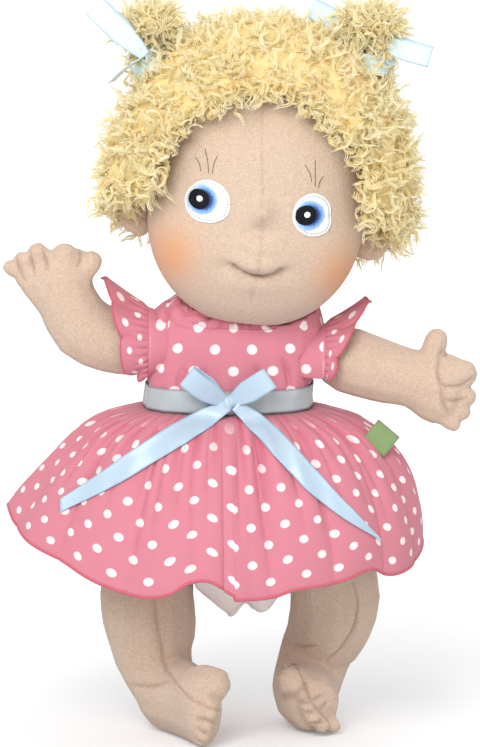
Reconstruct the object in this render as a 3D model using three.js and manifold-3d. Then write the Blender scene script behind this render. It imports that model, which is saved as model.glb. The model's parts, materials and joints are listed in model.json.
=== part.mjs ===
// A cloth doll in a dotted dress: stuffed fleece body, head and limbs, a curly wig tied with ribbons,
// a bodice with a gathered skirt in two halves, flutter sleeves, and a ribbon sash tied in a bow.
// Millimetres, +Z up. The doll stands on the floor at z = 0 and faces -Y.
// Left and right are the doll's own, so its left side is at +X.

import * as THREE from "three";
import { mergeVertices } from "three/addons/utils/BufferGeometryUtils.js";
import Module from "manifold-3d";

const wasm = await Module();
wasm.setup();

const { abs, acos, asin, atan, atan2, cos, exp, max, min, PI, pow, sign, sin, sqrt } = Math;
const vec = (x, y, z) => new THREE.Vector3(x, y, z);
const mix = THREE.MathUtils.lerp;
const radians = THREE.MathUtils.degToRad;

// Fabrics and fits
const FLEECE = 1.2; // thickness of the skin
const COTTON = 0.8; // thickness of the dress and the underpants
const RIBBON = 0.6; // thickness of the satin ribbon
const FELT = 0.9; // thickness of the eye patches
const TOUCH = 0.3; // gap between two pieces that lie on each other
const SOLE_CUT = 0.5; // depth of the flat under each foot

// Head, in a frame of its own: origin at its widest place, rolled towards the doll's left
const HEAD = {
  centre: vec(7.4, -8, 234),
  roll: 6.5,
  halfWidth: 47,
  halfDepth: 42,
  crown: 66,
  chin: 55,
  roundness: 2.25,
};
const NECK = { opening: 8, above: 2.5 }; // the head is flat `above` its lowest place
const FACE_BULGES = [
  { towards: vec(0.04, -1, 0.0), height: 2.6, reach: 0.16 }, // nose
  { towards: vec(0.02, -1, -0.36), height: 3.6, reach: 0.34 }, // muzzle
  { towards: vec(-0.78, -0.8, -0.46), height: 1.6, reach: 0.36 }, // cheeks
  { towards: vec(0.78, -0.8, -0.46), height: 1.6, reach: 0.36 },
];
const EAR = { out: 50, back: 4, drop: 11.5, halfWidth: 9.5, halfDepth: 4.5, halfHeight: 11.5 };
const EYE = { apart: 44.5, lift: 3, halfWidth: 8.8, halfHeight: 8.9, corner: 1.6, cornerTurn: -38 };

// Hair: a wig cap with a window for the face, and two bunches tied with ribbon
const HAIR = { halfWidth: 68, halfDepth: 54, crown: 80, skirt: 44, back: 1, curl: 3, curls: 9 };
const FACE_WINDOW = { halfWidth: 45.5, halfHeight: 49.5, behind: -9 };
const HAIR_EDGE = { front: -13, slope: 0.42 }; // lower edge, and how it falls towards the back
const BUNCH = { neck: 8, spread: 13, length: 15, sunk: 4 };
const BUNCH_RIBBON = { width: 9.5, loop: 22, belly: 4.5 };
const BUNCHES = {
  // tilts: how far the outer and the inner loop of its bow turn up along the bunch, in degrees
  right: { out: 51, lean: 14, tilts: [38, 40] },
  left: { out: 40, lean: 0, tilts: [-14, 35] },
};

// Trunk: half width, half depth and sideways lean at a few heights
const TRUNK = [
  { z: 57, halfWidth: 4, halfDepth: 4, lean: 0 },
  { z: 60, halfWidth: 13, halfDepth: 12, lean: 0 },
  { z: 68, halfWidth: 24, halfDepth: 20, lean: 0 },
  { z: 80, halfWidth: 33, halfDepth: 25, lean: -0.5 },
  { z: 95, halfWidth: 38, halfDepth: 28, lean: -1.5 },
  { z: 112, halfWidth: 38, halfDepth: 28.5, lean: -3 },
  { z: 130, halfWidth: 36, halfDepth: 26, lean: -5 },
  { z: 147, halfWidth: 34.2, halfDepth: 23, lean: -5.5 },
  { z: 160, halfWidth: 35.5, halfDepth: 21.5, lean: -3.5 },
  { z: 170, halfWidth: 36.5, halfDepth: 20.5, lean: -2.5 },
  { z: 178, halfWidth: 36.5, halfDepth: 18.5, lean: -2 },
  { z: 184, halfWidth: 34.5, halfDepth: 16, lean: -1.5 },
  { z: 188, halfWidth: 30, halfDepth: 13, lean: -1 },
  { z: 190.5, halfWidth: 22, halfDepth: 9, lean: -0.5 },
];

const TRUNK_ROUNDNESS = 2.5; // 2 for an ellipse, more for a boxier section

// Limbs: each station has its place, and the section's half size across and deep.
// A foot starts at the heel, where its leg ends.
const RIGHT_ARM = [
  { at: [-47.5, -2, 169.5], across: 14, deep: 14 },
  { at: [-56, -2.5, 171], across: 14.2, deep: 13.5 },
  { at: [-67.5, -4, 177], across: 14.6, deep: 13 },
  { at: [-74.5, -6, 189], across: 13.2, deep: 12 },
  { at: [-78, -8, 197], across: 15.5, deep: 10 },
  { at: [-80, -9, 203], across: 17.5, deep: 8.5 },
];
const LEFT_ARM = [
  { at: [46, -2, 162.5], across: 14.6, deep: 14.4 },
  { at: [55, -2.5, 159.5], across: 14.2, deep: 13.5 },
  { at: [64, -4, 157], across: 13.6, deep: 12.5 },
  { at: [74, -5, 154.8], across: 12.7, deep: 11.5 },
  { at: [82, -6, 152.2], across: 15.4, deep: 10.5 },
  { at: [88, -7, 150], across: 15.8, deep: 9.5 },
];
const RIGHT_LEG = [
  { at: [-38, -1, 77.5], across: 19, deep: 19 },
  { at: [-40.5, 0, 59], across: 19.5, deep: 20.4 },
  { at: [-38.8, 1, 44.5], across: 18.5, deep: 20 },
  { at: [-37.5, 3, 31], across: 17, deep: 17 },
  { at: [-32, 1, 16.5], across: 17.5, deep: 14 },
];
const RIGHT_FOOT = [
  { at: [-32, 1, 16.5], across: 17.5, deep: 14 },
  { at: [-22.5, -19, 16], across: 17, deep: 10.5 },
  { at: [-16, -37, 15.4], across: 16.5, deep: 8.5 },
];
const LEFT_LEG = [
  { at: [38, 0, 77.5], across: 19, deep: 19 },
  { at: [41, 8, 57], across: 19.5, deep: 19.5 },
  { at: [38.5, 14, 43], across: 18.5, deep: 18.5 },
  { at: [33, 19, 31], across: 16, deep: 16 },
  { at: [28.5, 17, 16.6], across: 17, deep: 15 },
];
const LEFT_FOOT = [
  { at: [28.5, 17, 16.6], across: 17, deep: 15 },
  { at: [28.5, 3, 14.6], across: 15, deep: 14 },
  { at: [30.5, -6, 13.6], across: 14, deep: 12.5 },
];

// Fingers and toes, thumb or big toe first: a rounded knob from inside the hand or foot to its tip
const RIGHT_FINGERS = [
  { from: [-68, -9, 201], to: [-64, -11, 206.5], radius: 5.4 },
  { from: [-76, -9, 203], to: [-75.5, -11, 208.5], radius: 6.8 },
  { from: [-84, -9, 204], to: [-86.8, -11, 210.5], radius: 5 },
  { from: [-88, -9, 202], to: [-93.5, -11, 207.6], radius: 4.1 },
  { from: [-90, -9, 200], to: [-98.6, -10, 204], radius: 3.8 },
];
const LEFT_FINGERS = [
  { from: [80, -6, 160], to: [84.2, -7, 172], radius: 5.6 },
  { from: [86, -8, 157], to: [95, -9, 157.5], radius: 7.2 },
  { from: [86, -8, 150], to: [97, -9, 147.8], radius: 4.9 },
  { from: [86, -8, 145], to: [95.2, -9, 141], radius: 4.2 },
  { from: [84, -8, 141], to: [91.2, -9, 135.8], radius: 3.9 },
];
const RIGHT_TOES = [
  { from: [-19, -31, 24], to: [-13, -37, 26.5], radius: 9.6 },
  { from: [-17, -36, 15.5], to: [-13.8, -43.5, 15.2], radius: 4.6 },
  { from: [-17.5, -36, 10.5], to: [-14.5, -43.5, 10.2], radius: 4 },
  { from: [-18, -35.5, 6.5], to: [-15.3, -43, 6], radius: 3.6 },
  { from: [-18.5, -35, 3.4], to: [-16.2, -42, 3.2], radius: 3.2 },
];
const LEFT_TOES = [
  { from: [24, -3, 21], to: [22.5, -13, 24], radius: 8 },
  { from: [29, -10, 14], to: [29, -19, 14.2], radius: 4.6 },
  { from: [31, -9, 9.5], to: [31.2, -19, 9.2], radius: 4.3 },
  { from: [33.5, -7, 6], to: [35, -16.5, 5.2], radius: 3.9 },
  { from: [36, -5, 4.5], to: [40, -11.5, 3.8], radius: 3.7 },
];

const ANKLE = 32; // height of the ankles, below which a foot keeps its shape

// How far the limbs swing, which sets the room for them in the trunk
const SWING = { legBack: 20, limbHole: 8 };

// Dress
const BODICE = { bottom: 142.7, armhole: 13.6, strap: 30.5, neckRadius: 20, neckFront: 178 };
const SKIRT = {
  top: 142,
  opening: 0.8, // gap of the folds at the middle of the front and of the back
  front: 66,
  back: 65,
  right: 98,
  left: 83,
  hem: 71,
  hemRight: 99,
  hemLeft: 86,
  hemBack: 84,
  folds: 15,
  foldDepth: 2.6,
  swell: 0.62, // 0 for a cone, 1 for a round bell
};
const SASH = { bottom: 143, width: 9, knotWidth: 8, knotHeight: 9, knotDepth: 5 };
const TAIL = { width: 9.5, right: vec(-73, 0, 110), left: vec(58, 0, 96) };
const LOOP = { reach: 20, rise: 14, width: 9.5, belly: 4, forward: 12 };
const CLOSURE = { width: 8, bottom: 154, top: 168 };
const LABEL = { side: 12, across: 57, height: 122, standOff: 3.7 };
const PANTS = { top: 114 };
const SLEEVES = {
  right: { length: 25, out: 0.72, up: 0.69 },
  left: { length: 24, out: 0.85, up: 0.5 },
};
const SLEEVE = {
  overArmhole: 1.8,
  sweep: 118, // degrees to each side of the shoulder's top
  shortest: 0.16, // length at its ends, as a share of the longest
  taper: 0.72,
  flare: 0.5,
  folds: 7,
  foldDepth: 2,
};

// How finely the round forms are faceted: points round, and rows from pole to pole
const HEAD_FACETS = [22, 12];
const HOLLOW_FACETS = [14, 9];
const SOCKET_FACETS = [12, 8];
const WIG_FACETS = [22, 12];
const TRUNK_SIDES = 16;
const KNOB_FACETS = [2, 6]; // rows in each rounded end, and sides
const LIMB_SIDES = { skin: 12, hollow: 8, opening: 8 };
const HOLLOW_SIDES = 12;
const SKIRT_PANELS = [32, 4]; // panels round half of the skirt, and rows down it
const SLEEVE_PANELS = [18, 3];
const STRIP_PANELS = [4, 4];
const EAR_FACETS = [12, 9];
const KNOT_FACETS = [14, 10];
const BUNCH_FACETS = [14, 7];
const RIBBON_PANELS = { loop: [12, 1], sash: [32, 1], tail: [14, 2] };
const RING_SIDES = 16; // round the neck and under the chin
const CURVE_SIDES = 28; // of the neckline and the armholes
const WINDOW_SIDES = 36;

// Materials
const cloth = (color, roughness) => new THREE.MeshStandardMaterial({ color, roughness, metalness: 0 });
const FINISH = {
  skin: cloth(0xe3c5ab, 0.95),
  stuffing: cloth(0xf6f3ec, 1),
  hair: cloth(0xecdc9e, 0.8),
  dress: cloth(0xe8959d, 0.85),
  satin: cloth(0xbdd9ee, 0.35),
  felt: cloth(0xf4f1e6, 0.8),
  underwear: cloth(0xf4efee, 0.9),
  label: cloth(0x7d9a66, 0.8),
  tape: cloth(0xf2e9ea, 0.9),
};

// Solids from geometry, and back

function toSolid(geometry) {
  const bare = new THREE.BufferGeometry();
  bare.setAttribute("position", geometry.getAttribute("position"));
  bare.setIndex(geometry.getIndex());
  const merged = mergeVertices(bare, 1e-4);
  const vertProperties = new Float32Array(merged.attributes.position.array);
  const triVerts = new Uint32Array(merged.index.array);
  return new wasm.Manifold(new wasm.Mesh({ numProp: 3, vertProperties, triVerts }));
}

function toGeometry(solid) {
  const { vertProperties, triVerts } = solid.getMesh();
  const geometry = new THREE.BufferGeometry();
  geometry.setAttribute("position", new THREE.BufferAttribute(vertProperties, 3));
  geometry.setIndex(new THREE.BufferAttribute(triVerts, 1));
  geometry.computeVertexNormals();
  return geometry;
}

function meshOf(name, shape, finish) {
  const geometry = shape instanceof wasm.Manifold ? toGeometry(shape) : shape;
  const mesh = new THREE.Mesh(geometry, finish);
  mesh.name = name;
  return mesh;
}

function fromTriangles(points, triangles) {
  const geometry = new THREE.BufferGeometry().setFromPoints(points);
  geometry.setIndex(triangles);
  geometry.computeVertexNormals();
  return geometry;
}

// A closed surface through rings of points, with a flat fan over each end.
function loft(rings) {
  const count = rings[0].length;
  const points = rings.flat();
  const triangles = [];
  for (let i = 0; i < rings.length - 1; i++) {
    for (let j = 0; j < count; j++) {
      const a = i * count + j;
      const b = i * count + ((j + 1) % count);
      triangles.push(a, b, b + count, a, b + count, a + count);
    }
  }
  const last = (rings.length - 1) * count;
  for (const [start, back] of [
    [0, true],
    [last, false],
  ]) {
    const middle = vec(0, 0, 0);
    for (let j = 0; j < count; j++) middle.addScaledVector(points[start + j], 1 / count);
    points.push(middle);
    for (let j = 0; j < count; j++) {
      const a = start + j;
      const b = start + ((j + 1) % count);
      triangles.push(points.length - 1, back ? b : a, back ? a : b);
    }
  }
  return fromTriangles(points, triangles);
}

// Cloth of an even thickness on both sides of the surface pointAt(u, v).
function thickSheet(pointAt, columns, rows, thickness) {
  const nudge = 1e-3;
  const front = [];
  const back = [];
  for (let i = 0; i <= rows; i++) {
    for (let j = 0; j <= columns; j++) {
      const u = j / columns;
      const v = i / rows;
      const along = pointAt(min(u + nudge, 1), v).sub(pointAt(max(u - nudge, 0), v));
      const down = pointAt(u, min(v + nudge, 1)).sub(pointAt(u, max(v - nudge, 0)));
      const normal = along.cross(down).normalize();
      const middle = pointAt(u, v);
      front.push(middle.clone().addScaledVector(normal, thickness / 2));
      back.push(middle.clone().addScaledVector(normal, -thickness / 2));
    }
  }
  const width = columns + 1;
  const behind = front.length;
  const triangles = [];
  for (let i = 0; i < rows; i++) {
    for (let j = 0; j < columns; j++) {
      const a = i * width + j;
      const c = a + width;
      triangles.push(a, a + 1, c + 1, a, c + 1, c);
      triangles.push(behind + a, behind + c + 1, behind + a + 1, behind + a, behind + c, behind + c + 1);
    }
  }
  const rim = [];
  for (let j = 0; j < columns; j++) rim.push(j);
  for (let i = 0; i < rows; i++) rim.push(i * width + columns);
  for (let j = columns; j > 0; j--) rim.push(rows * width + j);
  for (let i = rows; i > 0; i--) rim.push(i * width);
  rim.forEach((a, k) => {
    const b = rim[(k + 1) % rim.length];
    triangles.push(a, behind + a, behind + b, a, behind + b, b);
  });
  return fromTriangles([...front, ...back], triangles);
}

// A value that runs smoothly through evenly weighted stations, with t from 0 to 1.
function through(values, t) {
  const place = t * (values.length - 1);
  const i = min(Math.floor(place), values.length - 2);
  const f = place - i;
  const [p, q] = [values[i], values[i + 1]];
  const before = values[max(i - 1, 0)];
  const after = values[min(i + 2, values.length - 1)];
  const m0 = (q - before) / 2;
  const m1 = (after - p) / 2;
  return (
    p * (2 * f ** 3 - 3 * f ** 2 + 1) +
    m0 * (f ** 3 - 2 * f ** 2 + f) +
    q * (3 * f ** 2 - 2 * f ** 3) +
    m1 * (f ** 3 - f ** 2)
  );
}

// A stuffed tube through the stations, rounded at both ends. `hint` is the way its sections are deep.
function stuffedTube(stations, { hint, inset = 0, sides = LIMB_SIDES.skin, steps = 2, capRings = 2 }) {
  const path = new THREE.CatmullRomCurve3(stations.map((s) => vec(...s.at)));
  const total = (stations.length - 1) * steps;
  const rings = [];
  const ring = (t, scale, shift) => {
    const along = path.getTangent(t);
    const deepWay = hint.clone().addScaledVector(along, -hint.dot(along)).normalize();
    const acrossWay = deepWay.clone().cross(along);
    const across = through(stations.map((s) => s.across), t) - inset;
    const deep = through(stations.map((s) => s.deep), t) - inset;
    const middle = path.getPoint(t).addScaledVector(along, shift * min(across, deep));
    const points = [];
    for (let j = 0; j < sides; j++) {
      const turn = (2 * PI * j) / sides;
      points.push(
        middle
          .clone()
          .addScaledVector(acrossWay, across * scale * cos(turn))
          .addScaledVector(deepWay, deep * scale * sin(turn) * -1),
      );
    }
    rings.push(points.reverse());
  };
  for (let k = 0; k < capRings; k++) {
    const lift = (PI / 2) * (1 - (k + 0.25) / capRings);
    ring(0, cos(lift), -sin(lift));
  }
  for (let i = 0; i <= total; i++) ring(i / total, 1, 0);
  for (let k = capRings - 1; k >= 0; k--) {
    const lift = (PI / 2) * (1 - (k + 0.25) / capRings);
    ring(1, cos(lift), sin(lift));
  }
  return toSolid(loft(rings));
}

function knob({ from, to, radius }) {
  const way = vec(...to).sub(vec(...from));
  const shape = new THREE.CapsuleGeometry(radius, way.length(), ...KNOB_FACETS);
  const turn = new THREE.Quaternion().setFromUnitVectors(vec(0, 1, 0), way.clone().normalize());
  const middle = vec(...from).addScaledVector(way, 0.5);
  shape.applyMatrix4(new THREE.Matrix4().compose(middle, turn, vec(1, 1, 1)));
  return toSolid(shape);
}

function block(low, high) {
  const size = high.clone().sub(low);
  const shape = new THREE.BoxGeometry(size.x, size.y, size.z);
  shape.translate((low.x + high.x) / 2, (low.y + high.y) / 2, (low.z + high.z) / 2);
  return toSolid(shape);
}

// A faceted ball that holds the whole round ball of this radius.
function ball(centre, radius) {
  const [width, height] = SOCKET_FACETS;
  const outer = radius / (cos(PI / width) * cos(PI / (2 * height)));
  return toSolid(new THREE.SphereGeometry(outer, width, height).translate(...centre));
}

const FAR = 400; // longer than the doll, for cutting blocks

// Head

const headTurn = new THREE.Matrix4().makeRotationY(radians(HEAD.roll));
const headPlace = headTurn.clone().setPosition(HEAD.centre);
const neckDrop = HEAD.chin - NECK.above; // from the head's origin down to its flat underside

// A point of the head's kind of egg, fuller than an ellipsoid, in a direction from its middle.
function roundedPoint(way, halfWidth, halfDepth, halfHeight) {
  const n = HEAD.roundness;
  const size = pow(pow(abs(way.x), n) + pow(abs(way.y), n) + pow(abs(way.z), n), -1 / n);
  return vec(way.x * halfWidth, way.y * halfDepth, way.z * halfHeight).multiplyScalar(size);
}

// The head's surface in a direction from its origin, pushed out by `offset`.
function headPoint(way, offset) {
  const point = roundedPoint(way, HEAD.halfWidth, HEAD.halfDepth, way.z > 0 ? HEAD.crown : HEAD.chin);
  const out = point.clone().normalize();
  let bulge = 0;
  for (const { towards, height: rise, reach } of FACE_BULGES) {
    const angle = acos(min(1, out.dot(towards.clone().normalize())));
    bulge += rise * exp(-((angle / reach) ** 2));
  }
  return point.addScaledVector(out, bulge + offset);
}

// A closed ball whose points are moved by pointIn(direction), with its poles up and down.
function shapedBall(pointIn, [width, height]) {
  const shape = new THREE.SphereGeometry(1, width, height).rotateX(PI / 2);
  const position = shape.getAttribute("position");
  for (let i = 0; i < position.count; i++) {
    const point = pointIn(new THREE.Vector3().fromBufferAttribute(position, i).normalize());
    position.setXYZ(i, point.x, point.y, point.z);
  }
  return toSolid(shape);
}

function headSolid(offset, facets = HEAD_FACETS) {
  const whole = shapedBall((way) => headPoint(way, offset), facets);
  return whole.subtract(block(vec(-FAR, -FAR, -FAR), vec(FAR, FAR, -neckDrop - offset)));
}

function neckTube(radius, low, high) {
  const tube = new THREE.CylinderGeometry(radius, radius, high - low, RING_SIDES).rotateX(PI / 2);
  return toSolid(tube.translate(0, 0, (low + high) / 2));
}

function headSkin() {
  const hollow = headSolid(-FLEECE, HOLLOW_FACETS);
  const opening = neckTube(NECK.opening, -neckDrop - FLEECE, -neckDrop + 3 * FLEECE);
  return headSolid(0).subtract(hollow).subtract(opening);
}

function headStuffing() {
  return headSolid(-FLEECE - 2 * TOUCH, HOLLOW_FACETS).subtract(
    block(vec(-FAR, -FAR, -FAR), vec(FAR, FAR, -neckDrop + FLEECE + 2 * TOUCH)),
  );
}

function earBall(side, grow) {
  const shape = new THREE.SphereGeometry(1, ...EAR_FACETS);
  shape.scale(EAR.halfWidth + grow, EAR.halfDepth + grow, EAR.halfHeight + grow);
  return toSolid(shape.translate(side * EAR.out, EAR.back, -EAR.drop));
}

function eyePatch(side) {
  const outline = new THREE.Shape();
  const corners = 20;
  for (let k = 0; k < corners; k++) {
    const turn = (2 * PI * k) / corners;
    const drawn = 1 + (EYE.corner / EYE.halfWidth) * max(0, cos(turn - radians(EYE.cornerTurn))) ** 6;
    const x = EYE.halfWidth * cos(turn) * drawn;
    const z = EYE.halfHeight * sin(turn) * drawn;
    if (k === 0) outline.moveTo(x, z);
    else outline.lineTo(x, z);
  }
  const slab = new THREE.ExtrudeGeometry(outline, { depth: HEAD.halfDepth, bevelEnabled: false });
  slab.rotateX(PI / 2).translate((side * EYE.apart) / 2, -HEAD.halfDepth / 3, EYE.lift);
  return toSolid(slab).intersect(headSolid(TOUCH + FELT)).subtract(headSolid(TOUCH));
}

// Hair

function wigOuter(grow) {
  return shapedBall((way) => {
    const turn = atan2(way.x, -way.y);
    const lump = HAIR.curl * sin(HAIR.curls * turn) * sin(HAIR.curls * acos(way.z)) * sqrt(1 - way.z ** 2);
    const point = roundedPoint(way, HAIR.halfWidth, HAIR.halfDepth, way.z > 0 ? HAIR.crown : HAIR.skirt);
    return point.addScaledVector(way, lump + grow).add(vec(0, HAIR.back, 0));
  }, WIG_FACETS);
}

function wigCap() {
  const window = new THREE.CylinderGeometry(1, 1, FAR, WINDOW_SIDES);
  window.scale(FACE_WINDOW.halfWidth, 1, FACE_WINDOW.halfHeight);
  window.translate(0, FACE_WINDOW.behind - FAR / 2, 0);
  const below = new THREE.BoxGeometry(FAR, FAR, FAR).translate(0, 0, -FAR / 2);
  below.rotateX(-atan(HAIR_EDGE.slope)).translate(0, 0, HAIR_EDGE.front);
  return wigOuter(0)
    .subtract(headSolid(TOUCH))
    .subtract(toSolid(window))
    .subtract(toSolid(below))
    .subtract(earBall(-1, TOUCH))
    .subtract(earBall(1, TOUCH));
}

// A frame at a bunch's root, which lies a little under the wig's top, with its Z along the bunch.
function bunchPlace(side, { out, lean }) {
  const way = vec(side * sin(radians(lean)), 0, cos(radians(lean)));
  const top = HAIR.crown * pow(1 - pow(out / HAIR.halfWidth, HEAD.roundness), 1 / HEAD.roundness);
  const root = vec(side * out, HAIR.back, top - BUNCH.sunk);
  const turn = new THREE.Quaternion().setFromUnitVectors(vec(0, 0, 1), way);
  return new THREE.Matrix4().compose(root, turn, vec(1, 1, 1));
}

// A bunch standing on its root, all round larger by `grow`.
function bunchShape(grow) {
  const sunk = -BUNCH.neck;
  const neck = BUNCH.neck + grow;
  const spread = BUNCH.spread + grow;
  const profile = [new THREE.Vector2(0, sunk), new THREE.Vector2(neck, sunk)];
  const [sides, rows] = BUNCH_FACETS;
  const first = asin(neck / spread);
  for (let i = 0; i <= rows; i++) {
    const turn = mix(first, PI, i / rows);
    const rise = (cos(first) - cos(turn)) / (cos(first) + 1);
    const puff = i === rows ? 0 : spread * sin(turn);
    profile.push(new THREE.Vector2(puff, BUNCH_RIBBON.width - grow + (BUNCH.length + 2 * grow) * rise));
  }
  return new THREE.LatheGeometry(profile, sides).rotateX(PI / 2);
}

function hairBunch(side, bunch) {
  return toSolid(bunchShape(0).applyMatrix4(bunchPlace(side, bunch))).subtract(wigOuter(TOUCH));
}

// Ribbon that runs once round the bunch's neck and stands out in two loops.
function bunchBow(side, bunch) {
  const radius = BUNCH.neck + TOUCH;
  const band = new THREE.LatheGeometry(
    [
      [radius, 0],
      [radius + RIBBON, 0],
      [radius + RIBBON, BUNCH_RIBBON.width],
      [radius, BUNCH_RIBBON.width],
      [radius, 0],
    ].map(([r, h]) => new THREE.Vector2(r, h)),
    RING_SIDES,
  ).rotateX(PI / 2);
  let bow = toSolid(band);
  const [outer, inner] = bunch.tilts;
  for (const [way, tilt] of [[side, outer], [-side, inner]]) {
    const loop = ribbonLoop(BUNCH_RIBBON.loop, BUNCH_RIBBON.width, BUNCH_RIBBON.belly);
    loop.rotateY(-radians(tilt));
    if (way < 0) loop.rotateZ(PI);
    loop.translate(way * (radius - RIBBON), -BUNCH.neck / 2, BUNCH_RIBBON.width / 2);
    bow = bow.add(toSolid(loop).subtract(toSolid(bunchShape(TOUCH))));
  }
  const geometry = toGeometry(bow);
  geometry.applyMatrix4(bunchPlace(side, bunch));
  return toSolid(geometry).subtract(wigOuter(TOUCH)).decompose().sort((a, b) => b.volume() - a.volume())[0];
}

// A ribbon folded back on itself: out along +X and back, its width along Z.
function ribbonLoop(reach, width, belly) {
  return thickSheet(
    (u, v) => {
      const turn = PI * (0.04 + 1.92 * u);
      const x = (reach / 2) * (1 - cos(turn));
      const y = belly * sin(turn) * (0.35 + 0.65 * (x / reach));
      return vec(x, y, width * (v - 0.5));
    },
    ...RIBBON_PANELS.loop,
    RIBBON,
  );
}

// Trunk

// One of the trunk's measures at a height. It runs straight between the stations, so that every layer of
// skin, stuffing and dress that follows them lies parallel to the next.
function trunkAt(z, key) {
  const last = TRUNK.length - 2;
  let i = 0;
  while (i < last && z > TRUNK[i + 1].z) i++;
  const [low, high] = [TRUNK[i], TRUNK[i + 1]];
  return mix(low[key], high[key], min(1, max(0, (z - low.z) / (high.z - low.z))));
}

// The trunk's outline at a height and a turn from the front, pushed out by `offset`.
function trunkPoint(turn, z, offset) {
  const across = max(0.5, trunkAt(z, "halfWidth") + offset);
  const deep = max(0.5, trunkAt(z, "halfDepth") + offset);
  const square = (value) => sign(value) * pow(abs(value), 2 / TRUNK_ROUNDNESS);
  return vec(trunkAt(z, "lean") + across * square(sin(turn)), -deep * square(cos(turn)), z);
}

// What is left of one of the trunk's half sizes at a share of the other.
function trunkShare(within) {
  return pow(1 - pow(min(1, abs(within)), TRUNK_ROUNDNESS), 1 / TRUNK_ROUNDNESS);
}

// How far out the trunk's side lies at a place seen from the side.
function trunkSide(side, y, z, offset) {
  const share = trunkShare(y / (trunkAt(z, "halfDepth") + offset));
  return trunkAt(z, "lean") + side * (trunkAt(z, "halfWidth") + offset) * share;
}

// A closed slice of the trunk from bottom to top, with its surface pushed out by `offset`.
function trunkLoft(offset, bottom, top, sides = TRUNK_SIDES) {
  const between = TRUNK.map(({ z }) => z).filter((z) => z > bottom + 1 && z < top - 1);
  const ring = (z) => Array.from({ length: sides }, (_, j) => trunkPoint((2 * PI * j) / sides, z, offset));
  return toSolid(loft([bottom, ...between, top].map(ring)));
}

// The room that a leg needs as it swings: its round top, all below it, and all in front of it.
function legRoom(stations, grow) {
  const [x, y, z] = stations[0].at;
  const radius = stations[0].across + grow;
  const side = sign(x);
  const inner = abs(x) - radius;
  const below = z + radius * sin(radians(SWING.legBack));
  const slab = (low, high) =>
    block(
      vec(side > 0 ? inner : -FAR, low.y, low.z),
      vec(side > 0 ? FAR : -inner, high.y, high.z),
    );
  return ball([x, y, z], radius)
    .add(slab(vec(0, -FAR, -FAR), vec(0, FAR, below)))
    .add(slab(vec(0, -FAR, -FAR), vec(0, y, z + radius)));
}

// The room that the head needs as it turns on the neck.
function headRoom(gap) {
  const profile = [new THREE.Vector2(0, -neckDrop - gap)];
  const rows = 4;
  for (let i = 0; i <= rows; i++) {
    const drop = neckDrop * cos((PI / 2) * (i / rows));
    const reach = HEAD.halfWidth * pow(1 - pow(drop / HEAD.chin, HEAD.roundness), 1 / HEAD.roundness);
    profile.push(new THREE.Vector2((reach + gap + TOUCH) / cos(PI / RING_SIDES), -drop - gap));
  }
  profile.push(new THREE.Vector2(0, -gap));
  return toSolid(new THREE.LatheGeometry(profile, RING_SIDES).rotateX(PI / 2).applyMatrix4(headPlace));
}

function trunkSolid(inset, sides) {
  return trunkLoft(-inset, TRUNK[0].z + inset, TRUNK.at(-1).z, sides)
    .subtract(headRoom(TOUCH + inset))
    .subtract(legRoom(RIGHT_LEG, TOUCH + inset))
    .subtract(legRoom(LEFT_LEG, TOUCH + inset))
    .subtract(ball(RIGHT_ARM[0].at, RIGHT_ARM[0].across + inset))
    .subtract(ball(LEFT_ARM[0].at, LEFT_ARM[0].across + inset));
}

function trunkSkin() {
  const opening = toSolid(
    new THREE.CylinderGeometry(NECK.opening, NECK.opening, 8 * FLEECE, RING_SIDES)
      .rotateX(PI / 2)
      .translate(0, 0, -neckDrop - 3 * FLEECE)
      .applyMatrix4(headPlace),
  );
  return trunkSolid(0, TRUNK_SIDES).subtract(trunkSolid(FLEECE, HOLLOW_SIDES)).subtract(opening);
}

// Limbs

const HINT = { arm: vec(0, -1, 0), leg: vec(-1, 0, 0) };

const join = (solids) => solids.reduce((all, each) => all.add(each));

function limbOuter(runs, knobs, hint) {
  return join([...runs.map((run) => stuffedTube(run, { hint })), ...knobs.map(knob)]);
}

function limbInner(runs, hint, inset) {
  return join(runs.map((run) => stuffedTube(run, { hint, inset, sides: LIMB_SIDES.hollow, steps: 1 })));
}

// A leg and its foot lowered or raised so that the lowest place lies SOLE_CUT under the floor.
function standing(runs, knobs) {
  const drop = limbOuter(runs, knobs, HINT.leg).boundingBox().min[2] + SOLE_CUT;
  const hip = runs[0][0].at[2];
  const lower = ([x, y, z]) => [x, y, z - drop * min(1, (hip - z) / (hip - ANKLE))];
  return {
    runs: runs.map((run) => run.map((station) => ({ ...station, at: lower(station.at) }))),
    knobs: knobs.map(({ from, to, radius }) => ({ from: lower(from), to: lower(to), radius })),
  };
}

const LIMBS = [
  { kind: "arm", side: "right", rootWay: vec(1, 0, 0), runs: [RIGHT_ARM], knobs: RIGHT_FINGERS },
  { kind: "arm", side: "left", rootWay: vec(-1, 0, 0), runs: [LEFT_ARM], knobs: LEFT_FINGERS },
  { kind: "leg", side: "right", rootWay: vec(0, 0, 1), ...standing([RIGHT_LEG, RIGHT_FOOT], RIGHT_TOES) },
  { kind: "leg", side: "left", rootWay: vec(0, 0, 1), ...standing([LEFT_LEG, LEFT_FOOT], LEFT_TOES) },
];

// The skin is open at its root, and flat where it meets the floor.
function limbSkin({ kind, rootWay, runs, knobs }) {
  const [[root]] = runs;
  const [x, y, z] = root.at;
  const reach = root.across;
  const hole = new THREE.CylinderGeometry(SWING.limbHole, SWING.limbHole, 2 * reach, LIMB_SIDES.opening);
  hole.applyQuaternion(new THREE.Quaternion().setFromUnitVectors(vec(0, 1, 0), rootWay));
  hole.translate(x + rootWay.x * reach, y + rootWay.y * reach, z + rootWay.z * reach);
  return limbOuter(runs, knobs, HINT[kind])
    .subtract(block(vec(-FAR, -FAR, -FAR), vec(FAR, FAR, 0)))
    .subtract(limbInner(runs, HINT[kind], FLEECE))
    .subtract(toSolid(hole));
}

// Dress

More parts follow.
